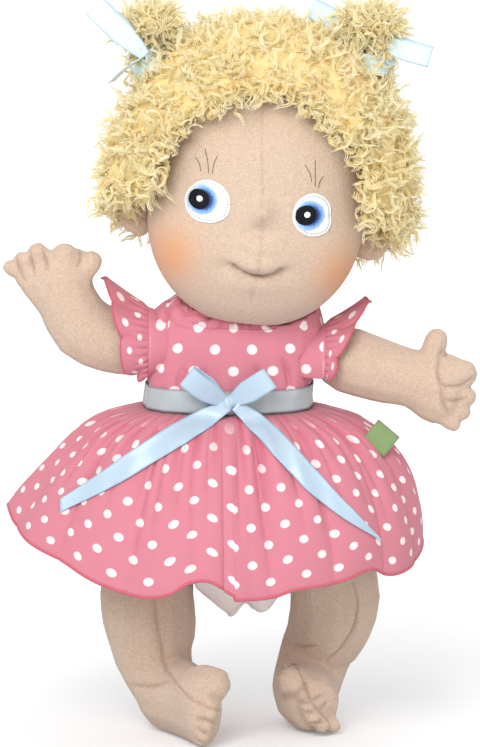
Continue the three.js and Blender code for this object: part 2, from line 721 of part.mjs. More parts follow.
function bodice() {
  const outer = trunkLoft(TOUCH + COTTON, BODICE.bottom, TRUNK.at(-1).z);
  const inner = trunkLoft(TOUCH, BODICE.bottom - COTTON, TRUNK.at(-1).z + COTTON);
  let shell = outer.subtract(inner).subtract(headRoom(TOUCH + COTTON));
  for (const [side, stations] of [
    [-1, RIGHT_ARM],
    [1, LEFT_ARM],
  ]) {
    const [, y, z] = stations[0].at;
    const hole = new THREE.CylinderGeometry(BODICE.armhole, BODICE.armhole, FAR, CURVE_SIDES).rotateZ(PI / 2);
    hole.translate(side * (BODICE.strap + FAR / 2), y, z);
    shell = shell.subtract(toSolid(hole));
  }
  const neckline = new THREE.CylinderGeometry(BODICE.neckRadius, BODICE.neckRadius, FAR, CURVE_SIDES);
  neckline.rotateX(PI / 2).translate(TRUNK.at(-1).lean, -BODICE.neckRadius / 4, BODICE.neckFront + FAR / 2);
  shell = shell.subtract(toSolid(neckline));
  const slit = block(vec(-SKIRT.opening / 2, 0, 0), vec(SKIRT.opening / 2, FAR, FAR));
  return shell.subtract(slit.translate([trunkAt(CLOSURE.bottom, "lean"), 0, 0]));
}

function backStrip(layer) {
  const offset = TOUCH + COTTON + (layer + 0.5) * COTTON + (layer + 1) * TOUCH;
  const middle = trunkAt(CLOSURE.bottom, "lean");
  return thickSheet(
    (u, v) => {
      const z = mix(CLOSURE.top, CLOSURE.bottom, v);
      const across = (0.5 - u) * CLOSURE.width;
      const share = trunkShare((across + middle - trunkAt(z, "lean")) / (trunkAt(z, "halfWidth") + offset));
      return vec(middle + across, (trunkAt(z, "halfDepth") + offset) * share, z);
    },
    ...STRIP_PANELS,
    COTTON,
  );
}

// Hem height and reach at a turn from the front, positive towards the doll's left.
function hemAt(turn) {
  const sideways = sin(turn);
  const forward = cos(turn);
  const across = sideways > 0 ? SKIRT.left : SKIRT.right;
  const deep = forward > 0 ? SKIRT.front : SKIRT.back;
  const sideRise = (sideways > 0 ? SKIRT.hemLeft : SKIRT.hemRight) - SKIRT.hem;
  const backRise = forward < 0 ? (SKIRT.hemBack - SKIRT.hem) * forward ** 2 : 0;
  const z = SKIRT.hem + sideRise * abs(sideways) ** 2.5 + backRise;
  const lean = trunkAt(SKIRT.top, "lean") * 0.5;
  return vec(lean + (across + (sideways > 0 ? -lean : lean)) * sideways, -deep * forward, z);
}

// The skirt's middle surface without its folds: turn from the front, and s from the waist down to the hem.
function skirtBell(turn, s) {
  const waist = trunkPoint(turn, SKIRT.top, TOUCH + COTTON / 2);
  const hem = hemAt(turn);
  const out = mix(s, sin((s * PI) / 2), SKIRT.swell);
  const down = mix(s, 1 - cos((s * PI) / 2), SKIRT.swell);
  return vec(mix(waist.x, hem.x, out), mix(waist.y, hem.y, out), mix(waist.z, hem.z, down));
}

function skirtPoint(turn, s) {
  const fold = SKIRT.foldDepth * cos(SKIRT.folds * turn) * s ** 0.8;
  return skirtBell(turn, s).add(vec(sin(turn) * fold, -cos(turn) * fold, 0));
}

// The place on the front of the bell that shows at x and z, and the way out of the cloth there.
function skirtFront(x, z) {
  let turn = 0;
  let s = 0.5;
  const rounds = 40;
  for (let i = 0; i < rounds; i++) {
    const point = skirtBell(turn, s);
    turn += (x - point.x) / SKIRT.left;
    s = min(1, max(0, s + (point.z - z) / (SKIRT.top - SKIRT.hem)));
  }
  const nudge = 0.01;
  const around = skirtBell(turn + nudge, s).sub(skirtBell(turn - nudge, s));
  const down = skirtBell(turn, s + nudge).sub(skirtBell(turn, s - nudge));
  return { point: skirtBell(turn, s), out: down.cross(around).normalize() };
}

function skirtHalf(side) {
  const gap = SKIRT.opening / 2 / SKIRT.front;
  return thickSheet(
    (u, v) => {
      const turn = mix(gap, PI - gap, side > 0 ? u : 1 - u) * side;
      return skirtPoint(turn, v);
    },
    ...SKIRT_PANELS,
    COTTON,
  );
}

// A sleeve gathered round the top of the armhole, longest over the shoulder.
function sleeve(side, stations, { length, out, up }) {
  const [, y, z] = stations[0].at;
  const sweep = radians(SLEEVE.sweep);
  const seam = TOUCH + COTTON + 3 * TOUCH;
  return thickSheet(
    (u, v) => {
      const turn = mix(-sweep, sweep, side > 0 ? 1 - u : u);
      const reach = length * v * max(SLEEVE.shortest, cos(turn * SLEEVE.taper));
      const root = BODICE.armhole + SLEEVE.overArmhole;
      const fold = SLEEVE.foldDepth * v * (1 + cos(turn * SLEEVE.folds));
      const ring = root + fold + reach * SLEEVE.flare * abs(sin(turn));
      const from = trunkSide(side, y + root * sin(turn), z + root * cos(turn), seam);
      return vec(
        from + side * reach * out,
        y + ring * sin(turn),
        z + ring * cos(turn) + reach * up * max(0, cos(turn)),
      );
    },
    ...SLEEVE_PANELS,
    COTTON,
  );
}

function sashBand() {
  const offset = TOUCH + COTTON + TOUCH + RIBBON / 2;
  const gap = (SASH.knotWidth / 2 + TOUCH) / trunkAt(SASH.bottom, "halfWidth");
  return thickSheet(
    (u, v) => {
      const z = SASH.bottom + SASH.width * (1 - v);
      return trunkPoint(mix(gap, 2 * PI - gap, u), z, offset);
    },
    ...RIBBON_PANELS.sash,
    RIBBON,
  );
}

function knotPlace() {
  const z = SASH.bottom + SASH.width / 2;
  return trunkPoint(0, z, TOUCH + COTTON + TOUCH + SASH.knotDepth / 2);
}

function sashKnot() {
  const shape = new THREE.SphereGeometry(1, ...KNOT_FACETS);
  shape.scale(SASH.knotWidth / 2, SASH.knotDepth / 2, SASH.knotHeight / 2);
  return shape.translate(...knotPlace());
}

function sashLoop(side) {
  const knot = knotPlace();
  const loop = ribbonLoop(LOOP.reach, LOOP.width, LOOP.belly);
  if (side < 0) loop.rotateZ(PI);
  loop.rotateZ(-side * radians(LOOP.forward)).rotateY(-side * atan(LOOP.rise / LOOP.reach));
  loop.translate(knot.x + side * 0.45 * SASH.knotWidth, knot.y, knot.z + SASH.knotHeight / 5);
  return toSolid(loop).subtract(knotRoom());
}

function knotRoom() {
  const shape = new THREE.SphereGeometry(1, ...KNOT_FACETS);
  shape.scale(SASH.knotWidth / 2 + TOUCH, SASH.knotDepth / 2 + TOUCH, SASH.knotHeight / 2 + TOUCH);
  return toSolid(shape.translate(...knotPlace()));
}

// A tail lies on the skirt, from under the knot to its cut end.
function sashTail(side) {
  const end = side > 0 ? TAIL.left : TAIL.right;
  const knot = knotPlace();
  const start = vec(knot.x + side * 2, 0, SKIRT.top - 1);
  const slope = end.clone().sub(start).normalize();
  const widthWay = vec(slope.z, 0, -slope.x);
  const ride = SKIRT.foldDepth + COTTON + RIBBON;
  return thickSheet(
    (u, v) => {
      const half = (TAIL.width / 2) * mix(0.5, 1, min(1, u * 4));
      const flat = start.clone().lerp(end, u).addScaledVector(widthWay, half * (2 * v - 1));
      const { point, out } = skirtFront(flat.x, flat.z);
      return point.addScaledVector(out, ride);
    },
    ...RIBBON_PANELS.tail,
    RIBBON,
  );
}

// The label stands off the skirt's side by one corner, and turns its face forwards.
function sideLabel() {
  const { point, out } = skirtFront(LABEL.across, LABEL.height);
  const facing = out.clone().add(vec(0, -1, 0)).normalize();
  const plate = new THREE.BoxGeometry(LABEL.side, RIBBON, LABEL.side).rotateY(PI / 4);
  plate.applyQuaternion(new THREE.Quaternion().setFromUnitVectors(vec(0, -1, 0), facing));
  return plate.translate(...point.addScaledVector(out, LABEL.standOff));
}

function underpants() {
  const bottom = TRUNK[0].z - TOUCH - COTTON;
  const outer = trunkLoft(TOUCH + COTTON, bottom, PANTS.top);
  const inner = trunkLoft(TOUCH, bottom + COTTON, PANTS.top + COTTON);
  return outer
    .subtract(inner)
    .subtract(legRoom(RIGHT_LEG, TOUCH))
    .subtract(legRoom(LEFT_LEG, TOUCH));
}

// The doll

const doll = new THREE.Group();
const put = (name, shape, finish) => doll.add(meshOf(name, shape, finish));

put("trunk_skin", trunkSkin(), FINISH.skin);
put("trunk_stuffing", trunkSolid(FLEECE + 3 * TOUCH, HOLLOW_SIDES), FINISH.stuffing);
for (const limb of LIMBS) {
  const { kind, side, runs } = limb;
  put(`${kind}_skin_${side}`, limbSkin(limb), FINISH.skin);
  put(`${kind}_stuffing_${side}`, limbInner(runs, HINT[kind], FLEECE + 4 * TOUCH), FINISH.stuffing);
}

const head = new THREE.Group();
head.applyMatrix4(headPlace);
doll.add(head);
head.add(meshOf("head_skin", headSkin(), FINISH.skin));
head.add(meshOf("head_stuffing", headStuffing(), FINISH.stuffing));
head.add(meshOf("wig_cap", wigCap(), FINISH.hair));
for (const [label, side] of [
  ["right", -1],
  ["left", 1],
]) {
  const ear = earBall(side, 0).subtract(headSolid(TOUCH));
  head.add(meshOf(`ear_${label}`, ear, FINISH.skin));
  head.add(meshOf(`eye_${label}`, eyePatch(side), FINISH.felt));
  head.add(meshOf(`hair_bunch_${label}`, hairBunch(side, BUNCHES[label]), FINISH.hair));
  head.add(meshOf(`hair_bow_${label}`, bunchBow(side, BUNCHES[label]), FINISH.satin));
}

put("underpants", underpants(), FINISH.underwear);
put("bodice", bodice(), FINISH.dress);
put("closure_tape", backStrip(0), FINISH.tape);
put("back_placket", backStrip(1), FINISH.dress);
put("sash_band", sashBand(), FINISH.satin);
put("sash_knot", sashKnot(), FINISH.satin);
put("side_label", sideLabel(), FINISH.label);
for (const [label, side, arm] of [
  ["right", -1, RIGHT_ARM],
  ["left", 1, LEFT_ARM],
]) {
  put(`skirt_${label}`, skirtHalf(side), FINISH.dress);
  put(`sleeve_${label}`, sleeve(side, arm, SLEEVES[label]), FINISH.dress);
  put(`sash_loop_${label}`, sashLoop(side), FINISH.satin);
  put(`sash_tail_${label}`, sashTail(side), FINISH.satin);
}

export default doll;
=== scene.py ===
"""Looks of a cloth doll: fleece skin, a curly wig with ribbon bows, and a dotted dress with a satin sash.

Lengths in the tables are in millimetres and become metres where a mesh is made. The doll faces -Y, and
left and right are its own, so its left side is at +X.
"""

import json
import math

import bmesh
import bpy
import numpy as np
from mathutils import Matrix, Vector, noise
from mathutils.bvhtree import BVHTree
from mathutils.kdtree import KDTree


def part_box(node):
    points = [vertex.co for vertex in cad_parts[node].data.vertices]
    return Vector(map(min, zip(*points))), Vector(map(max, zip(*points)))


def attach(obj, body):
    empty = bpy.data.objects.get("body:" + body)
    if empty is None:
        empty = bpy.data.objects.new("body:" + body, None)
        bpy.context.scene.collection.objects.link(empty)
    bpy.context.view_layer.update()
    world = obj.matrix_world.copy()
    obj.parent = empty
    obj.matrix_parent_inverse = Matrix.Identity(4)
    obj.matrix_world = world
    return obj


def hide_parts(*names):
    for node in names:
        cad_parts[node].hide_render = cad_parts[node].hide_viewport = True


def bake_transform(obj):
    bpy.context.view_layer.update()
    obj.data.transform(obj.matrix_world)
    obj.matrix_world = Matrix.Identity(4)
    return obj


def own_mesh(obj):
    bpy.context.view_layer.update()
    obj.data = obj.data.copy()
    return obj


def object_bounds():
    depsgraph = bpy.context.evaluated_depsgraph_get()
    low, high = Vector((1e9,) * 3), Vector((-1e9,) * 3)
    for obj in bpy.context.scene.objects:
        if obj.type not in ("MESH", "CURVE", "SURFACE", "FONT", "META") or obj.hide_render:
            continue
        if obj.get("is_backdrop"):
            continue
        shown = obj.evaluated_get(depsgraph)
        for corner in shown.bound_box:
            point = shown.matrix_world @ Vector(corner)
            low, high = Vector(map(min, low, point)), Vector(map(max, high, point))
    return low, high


MM = 0.001
SIGN = {"right": -1, "left": 1}

# How thick each cloth is
THICKNESS = {"cotton": 0.6, "ribbon": 0.35, "label": 0.4, "tape": 0.7}

# The photograph's view: its frame in pixels, its scale, and where the frame's origin shows in it
VIEW = {
    "width": 480,
    "height": 747,
    "pixels_per_mm": 2.3125,
    "origin": (240.5, 729.0),
    "elevation": 10.0,
    "distance": 5.0,
}

# The head's own frame, and its egg shape
HEAD = {
    "centre": (7.4, -8.0, 234.0),
    "roll": 6.5,
    "half_width": 47.0,
    "half_depth": 42.0,
    "crown": 66.0,
    "chin": 55.0,
    "flat_chin": 2.5,
    "mesh": (190, 300),
    "roundness": 2.25,
}

# Gentle rises and hollows of the face: place across and up, reach across and up, and height
FACE_RELIEF = [
    (1.8, 0.6, 4.2, 4.4, 4.8),
    (1.6, -7.6, 4.4, 2.6, -1.6),
    (2.0, -14.0, 9.5, 3.2, 2.4),
    (3.0, -21.0, 11.0, 4.6, 4.4),
    (-11.0, -25.4, 3.6, 3.4, -1.6),
    (15.6, -24.0, 3.6, 3.4, -1.6),
    (3.2, -32.0, 10.0, 4.2, 1.4),
    (-33.0, -20.0, 14.0, 15.0, 2.2),
    (33.0, -20.0, 14.0, 15.0, 2.2),
]
MOUTH = [(-7.6, -24.6), (-4.4, -25.7), (-0.4, -26.9), (3.4, -27.3), (7.6, -26.4), (12.4, -23.8)]
FACE_SEAM = [(-3.0, 42.0), (-1.2, 26.0), (0.6, 12.0), (1.8, 0.0), (2.6, -12.0), (2.9, -24.0), (1.4, -40.0)]
BLUSH = [(-35.5, -24.5), (39.5, -26.5)]
BLUSH_SIZE = (11.0, 13.5)

# Eyes: middle of the patch, its outline's reach by direction, and the pupil's middle
EYES = {
    "right": {
        "middle": (-21.6, 2.0),
        "reach": [
            (0, 9.4), (-28, 9.8), (-55, 9.0), (-90, 8.6), (-135, 9.4), (180, 9.4), (135, 8.9), (90, 9.1),
            (45, 9.1),
        ],
        "pupil": (-24.9, 2.6),
        "lashes": [
            ((205.6, 151.8), (209.2, 177.0)),
            ((195.9, 159.9), (201.6, 175.0)),
            ((217.8, 159.9), (212.9, 177.6)),
        ],
    },
    "left": {
        "middle": (22.6, 1.4),
        "reach": [
            (0, 7.8), (-20, 9.0), (-45, 10.0), (-75, 9.2), (-120, 8.3), (180, 7.7), (135, 8.2), (90, 9.0),
            (45, 8.6),
        ],
        "pupil": (20.3, 1.1),
        "lashes": [
            ((313.8, 163.0), (313.8, 190.8)),
            ((303.2, 168.0), (310.5, 186.0)),
            ((321.9, 179.4), (317.0, 192.0)),
        ],
    },
}

# Radii of the eye's round forms, their places from the pupil's middle, and the threads round them
PUPIL = 4.6
IRIS = {"radius": 6.7, "aside": 1.3}
GLINT = {"radius": 1.4, "offset": (0.2, 0.3)}
EYE_STITCHES = {"count": 46, "inset": 0.9, "parts": (0.0, 0.22, 0.45), "thread": 0.24}
EYE_BORDER = {"steps": 96, "inset": 0.1, "thread": 0.42}
LASH_THREAD = 0.14
RIM_SUNK = 0.3

# Depth and width of the mouth's groove and the face's seam; depth, width and height of the mouth's corners
MOUTH_GROOVE = (1.5, 1.1)
SEAM_GROOVE = (0.25, 0.7)
MOUTH_CORNER = (1.5, 2.2, 1.9)

# The tint of the mouth's stitches, of the shade beside them and of the seam, and the width of each
STITCH_TINT = (0.75, 0.55)
SHADE_TINT = (0.22, 1.9)
SEAM_TINT = (0.18, 0.6)
BLUSH_TINT = 0.9

# The dent of the ears with the painted shade in it, the size of their mesh and how often it is smoothed
EAR = {"dent": 2.6, "dent_reach": (5.0, 6.5), "blush_and_dent_shade": 0.35, "voxel": 0.9, "rounds": 6}


def srgb(red, green, blue):
    """A colour as it shows on screen, as the linear colour that Blender takes."""

    def linear(value):
        return value / 12.92 if value <= 0.04045 else ((value + 0.055) / 1.055) ** 2.4

    return (linear(red), linear(green), linear(blue), 1.0)


# Materials


def add_node(tree, kind, inputs=None, **settings):
    """A shader node with its settings, and its inputs set to a value or linked to a socket."""
    made = tree.nodes.new(kind)
    for key, value in settings.items():
        setattr(made, key, value)
    for key, value in (inputs or {}).items():
        if isinstance(value, bpy.types.NodeSocket):
            tree.links.new(value, made.inputs[key])
        else:
            made.inputs[key].default_value = value
    return made


def maths(tree, operation, first, second=0.0):
    """The output of a Math node."""
    return add_node(tree, "ShaderNodeMath", {0: first, 1: second}, operation=operation).outputs[0]


def blend_colour(tree, share, first, second):
    """The output of a node that mixes two colours."""
    mixer = add_node(tree, "ShaderNodeMix", {0: share, 6: first, 7: second}, data_type="RGBA")
    return mixer.outputs[2]


def attribute(tree, name):
    """A value stored on the mesh's points."""
    return add_node(tree, "ShaderNodeAttribute", attribute_name=name).outputs["Fac"]


def grain(tree, coords, scale, detail=2.0, rough=0.5):
    """Noise from 0 to 1, with `scale` cells in a metre."""
    inputs = {"Vector": coords, "Scale": scale, "Detail": detail, "Roughness": rough}
    return add_node(tree, "ShaderNodeTexNoise", inputs).outputs[0]


def eased(tree, value, low, high, least=0.0, most=1.0):
    """A value spread from least to most while it goes from low to high."""
    inputs = {0: value, 1: low, 2: high, 3: least, 4: most}
    return add_node(tree, "ShaderNodeMapRange", inputs).outputs[0]


def darker(colour, share):
    """A share of a colour's light."""
    return tuple(share * part for part in colour[:3]) + (1.0,)


def paint(tree, shader, colour):
    """Gives a shader its colour."""
    tree.links.new(colour, shader.inputs["Base Color"])


def new_material(name, roughness, sheen=0.0, specular=0.3):
    """An empty material, its node tree and its shader."""
    material = bpy.data.materials.new(name)
    material.use_nodes = True
    shader = material.node_tree.nodes["Principled BSDF"]
    shader.inputs["Roughness"].default_value = roughness
    shader.inputs["Specular IOR Level"].default_value = specular
    shader.inputs["Sheen Weight"].default_value = sheen
    shader.inputs["Sheen Roughness"].default_value = 0.45
    return material, material.node_tree, shader


def bump(tree, shader, height, strength, distance):
    """Raises the surface by `height` times `distance` metres in its shading."""
    inputs = {"Height": height, "Strength": strength, "Distance": distance}
    tree.links.new(add_node(tree, "ShaderNodeBump", inputs).outputs[0], shader.inputs["Normal"])


def place_of(tree, kind="Object"):
    """Texture coordinates in metres."""
    return add_node(tree, "ShaderNodeTexCoord").outputs[kind]


def fleece_material(name, colour, deep):
    """Short brushed fleece: a fine nap, with the sewn lines, the rosy cheeks and the painted shade in
    grooves, creases and the ears' dents that its points store.
    """
    material, tree, shader = new_material(name, 0.95, sheen=0.35, specular=0.1)
    place = place_of(tree)
    nap = grain(tree, place, 1500, 4.0, 0.75)
    clumps = grain(tree, place, 620, 2.0, 0.6)
    mottled = maths(tree, "ADD", maths(tree, "MULTIPLY", nap, 0.8), maths(tree, "MULTIPLY", clumps, 0.2))
    base = blend_colour(tree, eased(tree, mottled, 0.40, 0.58), deep, colour)
    # Rosy tint: the cheeks' own colour on the face, and painted shade in the ears' dents
    rosy_and_dent_shaded = blend_colour(tree, attribute(tree, "blush_and_dent_shade"), base, srgb(0.90, 0.63, 0.44))
    # Dark brown along the line value: the mouth's stitches and the face's seam, with painted shade beside
    # the mouth and in the grooves along the limbs' seams and creases
    drawn = blend_colour(tree, attribute(tree, "line"), rosy_and_dent_shaded, srgb(0.47, 0.31, 0.25))
    paint(tree, shader, drawn)
    bump(tree, shader, mottled, 0.7, 0.0013)
    return material


def hair_material():
    """Synthetic curls, each strand a little different, pale at the tip and darker gold toward the root:
    painted shade deep among the curls.
    """
    material, tree, shader = new_material("hair_fibre", 0.38, sheen=0.1, specular=0.5)
    ramp = add_node(tree, "ShaderNodeValToRGB", {0: attribute(tree, "tone")})
    ramp.color_ramp.elements[0].color = srgb(1.0, 0.92, 0.70)
    ramp.color_ramp.elements[1].color = srgb(1.0, 0.99, 0.93)
    middle = ramp.color_ramp.elements.new(0.42)
    middle.color = srgb(1.0, 0.965, 0.82)
    paint(tree, shader, ramp.outputs[0])
    through = add_node(tree, "ShaderNodeBsdfTranslucent", {"Color": ramp.outputs[0]})
    both = add_node(tree, "ShaderNodeMixShader", {0: 0.5, 1: shader.outputs[0], 2: through.outputs[0]})
    tree.links.new(both.outputs[0], tree.nodes["Material Output"].inputs["Surface"])
    return material


def wig_base_material():
    """The dense curls under the top layer, a darker gold than the strands: painted shade deep among the
    curls.
    """
    material, tree, shader = new_material("hair_depths", 0.7, sheen=0.1)
    curls = grain(tree, place_of(tree), 520, 5.0, 0.8)
    paint(tree, shader, blend_colour(tree, curls, srgb(0.90, 0.79, 0.53), srgb(0.96, 0.88, 0.66)))
    bump(tree, shader, curls, 0.8, 0.0007)
    return material


DOTS = {"pitch": 15.6, "row": 9.2, "radius": 2.1, "soft_edge": 0.2}


def dotted_material(name, colour):
    """Printed cotton, its UV map the flat cloth in metres: white dots in rows, every other row shifted."""
    material, tree, shader = new_material(name, 0.82, sheen=0.15, specular=0.2)
    cloth = place_of(tree, "UV")
    split = add_node(tree, "ShaderNodeSeparateXYZ", {0: cloth})
    weave = grain(tree, cloth, 2600, 2.0, 0.6)
    faded = grain(tree, cloth, 60, 2.0)
    plain = blend_colour(tree, faded, darker(colour, 0.93), colour)
    row = maths(tree, "DIVIDE", split.outputs[1], DOTS["row"] * MM)
    shift = maths(tree, "MULTIPLY", maths(tree, "MODULO", maths(tree, "FLOOR", row), 2.0), 0.5)
    along = maths(tree, "ADD", maths(tree, "DIVIDE", split.outputs[0], DOTS["pitch"] * MM), shift)
    squares = []
    for cell, size in ((along, DOTS["pitch"]), (row, DOTS["row"])):
        offset = maths(tree, "MULTIPLY", maths(tree, "SUBTRACT", maths(tree, "FRACT", cell), 0.5), size)
        squares.append(maths(tree, "POWER", offset, 2.0))
    away = maths(tree, "SQRT", maths(tree, "ADD", *squares))
    inside = eased(tree, away, DOTS["radius"] + DOTS["soft_edge"], DOTS["radius"] - DOTS["soft_edge"])
    shown = maths(tree, "MULTIPLY", inside, maths(tree, "SUBTRACT", 1.0, attribute(tree, "gathered")))
    printed = blend_colour(tree, shown, plain, srgb(0.945, 0.89, 0.895))
    # Dusky pink along the line value: painted shade in the cloth's folds, creases and gathers
    paint(tree, shader, blend_colour(tree, attribute(tree, "line"), printed, srgb(0.74, 0.33, 0.42)))
    bump(tree, shader, weave, 0.25, 0.0006)
    return material


def satin_material(name, colour, edge):
    """Satin ribbon: fine ribs across it, and a firmer edge. U runs along it, V from edge to edge."""
    material, tree, shader = new_material(name, 0.33, sheen=0.2, specular=0.6)
    ribbon = place_of(tree, "UV")
    split = add_node(tree, "ShaderNodeSeparateXYZ", {0: ribbon})
    ribs = maths(tree, "SINE", maths(tree, "MULTIPLY", split.outputs[0], 9000.0))
    off_middle = maths(tree, "ABSOLUTE", maths(tree, "SUBTRACT", split.outputs[1], 0.5))
    selvage = eased(tree, off_middle, 0.40, 0.44)
    paint(tree, shader, blend_colour(tree, selvage, colour, edge))
    height = maths(tree, "ADD", maths(tree, "MULTIPLY", ribs, 0.15), selvage)
    bump(tree, shader, height, 0.35, 0.0002)
    return material


def plain_cloth_material(name, colour, cells=1800, sheen=0.2, roughness=0.85):
    """Plain woven or felted cloth with a fine grain."""
    material, tree, shader = new_material(name, roughness, sheen=sheen, specular=0.2)
    weave = grain(tree, place_of(tree), cells, 3.0, 0.65)
    paint(tree, shader, blend_colour(tree, weave, darker(colour, 0.86), colour))
    bump(tree, shader, weave, 0.4, 0.0006)
    return material


def iris_material():
    """Embroidered iris: rings of blue thread that run out from the pupil. U is the turn, V the radius."""
    material, tree, shader = new_material("iris_thread", 0.5, sheen=0.1, specular=0.4)
    polar = place_of(tree, "UV")
    stretched = add_node(
        tree, "ShaderNodeMapping", {"Vector": polar, "Scale": (90.0, 5.0, 1.0)}, vector_type="POINT"
    ).outputs[0]
    threads = grain(tree, stretched, 1.0, 2.0)
    radius = add_node(tree, "ShaderNodeSeparateXYZ", {0: polar}).outputs[1]
    frayed = maths(tree, "ADD", radius, maths(tree, "MULTIPLY", maths(tree, "SUBTRACT", threads, 0.5), 0.34))
    ramp = add_node(tree, "ShaderNodeValToRGB", {0: frayed})
    bands = ramp.color_ramp.elements
    bands[0].position, bands[0].color = 0.56, srgb(0.12, 0.20, 0.42)
    bands[1].position, bands[1].color = 1.0, srgb(0.84, 0.90, 0.97)
    for position, colour in (
        (0.68, srgb(0.32, 0.50, 0.78)),
        (0.80, srgb(0.52, 0.68, 0.89)),
        (0.92, srgb(0.62, 0.77, 0.93)),
    ):
        bands.new(position).color = colour
    paint(tree, shader, ramp.outputs[0])
    bump(tree, shader, threads, 0.5, 0.0004)
    return material


def floor_material():
    """Pale floor that the camera sees as white where no shadow lies, away from the doll; near it the
    camera's glow is weaker, painted shade that deepens the doll's shadow.
    """
    material = bpy.data.materials.new("pale_floor")
    material.use_nodes = True
    tree = material.node_tree
    tree.nodes.clear()
    seen = add_node(tree, "ShaderNodeLightPath").outputs["Is Camera Ray"]
    lit = add_node(tree, "ShaderNodeBsdfDiffuse", {"Color": (0.76, 0.77, 0.775, 1.0)})
    away = add_node(tree, "ShaderNodeVectorMath", {0: place_of(tree)}, operation="LENGTH").outputs["Value"]
    # Painted shade: the camera's glow rises from 0.2 within 0.1 m of the doll to 0.5 beyond half a metre
    glow_weaker_near_doll = eased(tree, away, 0.1, 0.5, 0.2, 0.5)
    glow = add_node(tree, "ShaderNodeEmission", {"Strength": maths(tree, "MULTIPLY", seen, glow_weaker_near_doll)})
    both = add_node(tree, "ShaderNodeAddShader", {0: lit.outputs[0], 1: glow.outputs[0]})
    add_node(tree, "ShaderNodeOutputMaterial", {"Surface": both.outputs[0]})
    return material


# Meshes


def make_piece(name, points, faces, material, body=None, uv=None, values=None):
    """A smooth-shaded piece from points in millimetres, with one UV and any named values for each point."""
    mesh = bpy.data.meshes.new(name)
    mesh.from_pydata((np.asarray(points, float) * MM).tolist(), [], list(faces))
    mesh.shade_smooth()
    if uv is not None:
        corners = np.zeros(len(mesh.loops), np.int32)
        mesh.loops.foreach_get("vertex_index", corners)
        layer = mesh.uv_layers.new(name="cloth")
        layer.uv.foreach_set("vector", np.asarray(uv, np.float32)[corners].ravel())
    for key, value in (values or {}).items():
        stored = mesh.attributes.new(key, "FLOAT", "POINT")
        stored.data.foreach_set("value", np.asarray(value, np.float32))
    mesh.materials.append(material)
    piece = bpy.data.objects.new(name, mesh)
    bpy.context.scene.collection.objects.link(piece)
    if body:
        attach(piece, body)
    return piece


def grid_faces(rows, columns, closed=False):
    """Quads between rows of points, each row `columns` long; closed joins each row's end to its start."""
    width = columns if closed else columns - 1
    row, column = np.meshgrid(np.arange(rows - 1), np.arange(width), indexing="ij")
    start = row * columns + column
    beside = row * columns + (column + 1) % columns
    quads = np.stack([start, start + columns, beside + columns, beside], axis=-1)
    return quads.reshape(-1, 4).tolist()


def capped_faces(rows, columns):
    """The faces of a closed form: quads round it, and a cap at each end."""
    last = (rows - 1) * columns
    caps = [list(range(columns)), list(range(last, last + columns))[::-1]]
    return grid_faces(rows, columns, closed=True) + caps


def unit(vectors, least=0.0):
    """Vectors brought to a length of one."""
    vectors = np.asarray(vectors, float)
    return vectors / (np.linalg.norm(vectors, axis=-1, keepdims=True) + least)


def run_along(points):
    """How far each point of a line lies from its start, along it."""
    return np.concatenate([[0], np.cumsum(np.linalg.norm(np.diff(points, axis=0), axis=1))])


def hand_over(piece, slot, *nodes, body=None):
    """Gives a piece its body, and puts it in place of its CAD nodes."""
    if body:
        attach(piece, body)
    if nodes:
        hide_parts(*nodes)


def settle(piece):
    """Turns a piece's modifiers into its mesh."""
    bpy.context.view_layer.update()
    graph = bpy.context.evaluated_depsgraph_get()
    mesh = bpy.data.meshes.new_from_object(piece.evaluated_get(graph))
    piece.modifiers.clear()
    piece.data = mesh
    mesh.shade_smooth()


def push_out(piece, amount_at):
    """Moves each point along its normal by amount_at(place), both in millimetres."""
    count = len(piece.data.vertices)
    places = np.zeros(count * 3)
    normals = np.zeros(count * 3)
    piece.data.vertices.foreach_get("co", places)
    piece.data.vertices.foreach_get("normal", normals)
    places = places.reshape(-1, 3)
    amounts = np.array([amount_at(Vector(place)) for place in places / MM])
    places += normals.reshape(-1, 3) * amounts[:, None] * MM
    piece.data.vertices.foreach_set("co", places.ravel())
    piece.data.update()


def thicken(piece, thickness):
    """Gives a one-sided sheet its thickness in millimetres, half to each side."""
    solid = piece.modifiers.new("thickness", "SOLIDIFY")
    solid.thickness = thickness * MM
    solid.offset = 0.0
    settle(piece)


def surface_of(*pieces):
    """A search tree over the faces of pieces that stand at the origin."""
    bpy.context.view_layer.update()
    points = []
    faces = []
    for piece in pieces:
        base = len(points)
        points += [piece.matrix_world @ vert.co for vert in piece.data.vertices]
        faces += [[base + index for index in face.vertices] for face in piece.data.polygons]
    return BVHTree.FromPolygons(points, faces)


def remeshed(name, shape, voxel, rounds, material, body):
    """A piece with the form of a bmesh, evenly meshed and rounded."""
    mesh = bpy.data.meshes.new(name)
    shape.to_mesh(mesh)
    shape.free()
    mesh.materials.append(material)
    piece = bpy.data.objects.new(name, mesh)
    bpy.context.scene.collection.objects.link(piece)
    even = piece.modifiers.new("even", "REMESH")
    even.mode = "VOXEL"
    even.voxel_size = voxel * MM
    soft = piece.modifiers.new("soft", "SMOOTH")
    soft.factor = 0.5
    soft.iterations = rounds
    settle(piece)
    piece.data.materials.clear()
    piece.data.materials.append(material)
    if body:
        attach(piece, body)
    return piece


def node_shape(node, grow=0.0):
    """A CAD node's mesh with its doubled points merged, and its wall thickened by `grow` on each side."""
    shape = bmesh.new()
    shape.from_mesh(frame["nodes"][node].data)
    bmesh.ops.remove_doubles(shape, verts=shape.verts, dist=1e-6)
    shape.normal_update()
    normals = [vert.normal.copy() for vert in shape.verts]
    for vert, normal in zip(shape.verts, normals):
        vert.co += normal * grow * MM
    return shape


def islands(shape):
    """The faces of a bmesh, in connected groups."""
    left = set(shape.faces)
    while left:
        group = []
        queue = [left.pop()]
        while queue:
            face = queue.pop()
            group.append(face)
            for edge in face.edges:
                for other in edge.link_faces:
                    if other in left:
                        left.remove(other)
                        queue.append(other)
        yield group


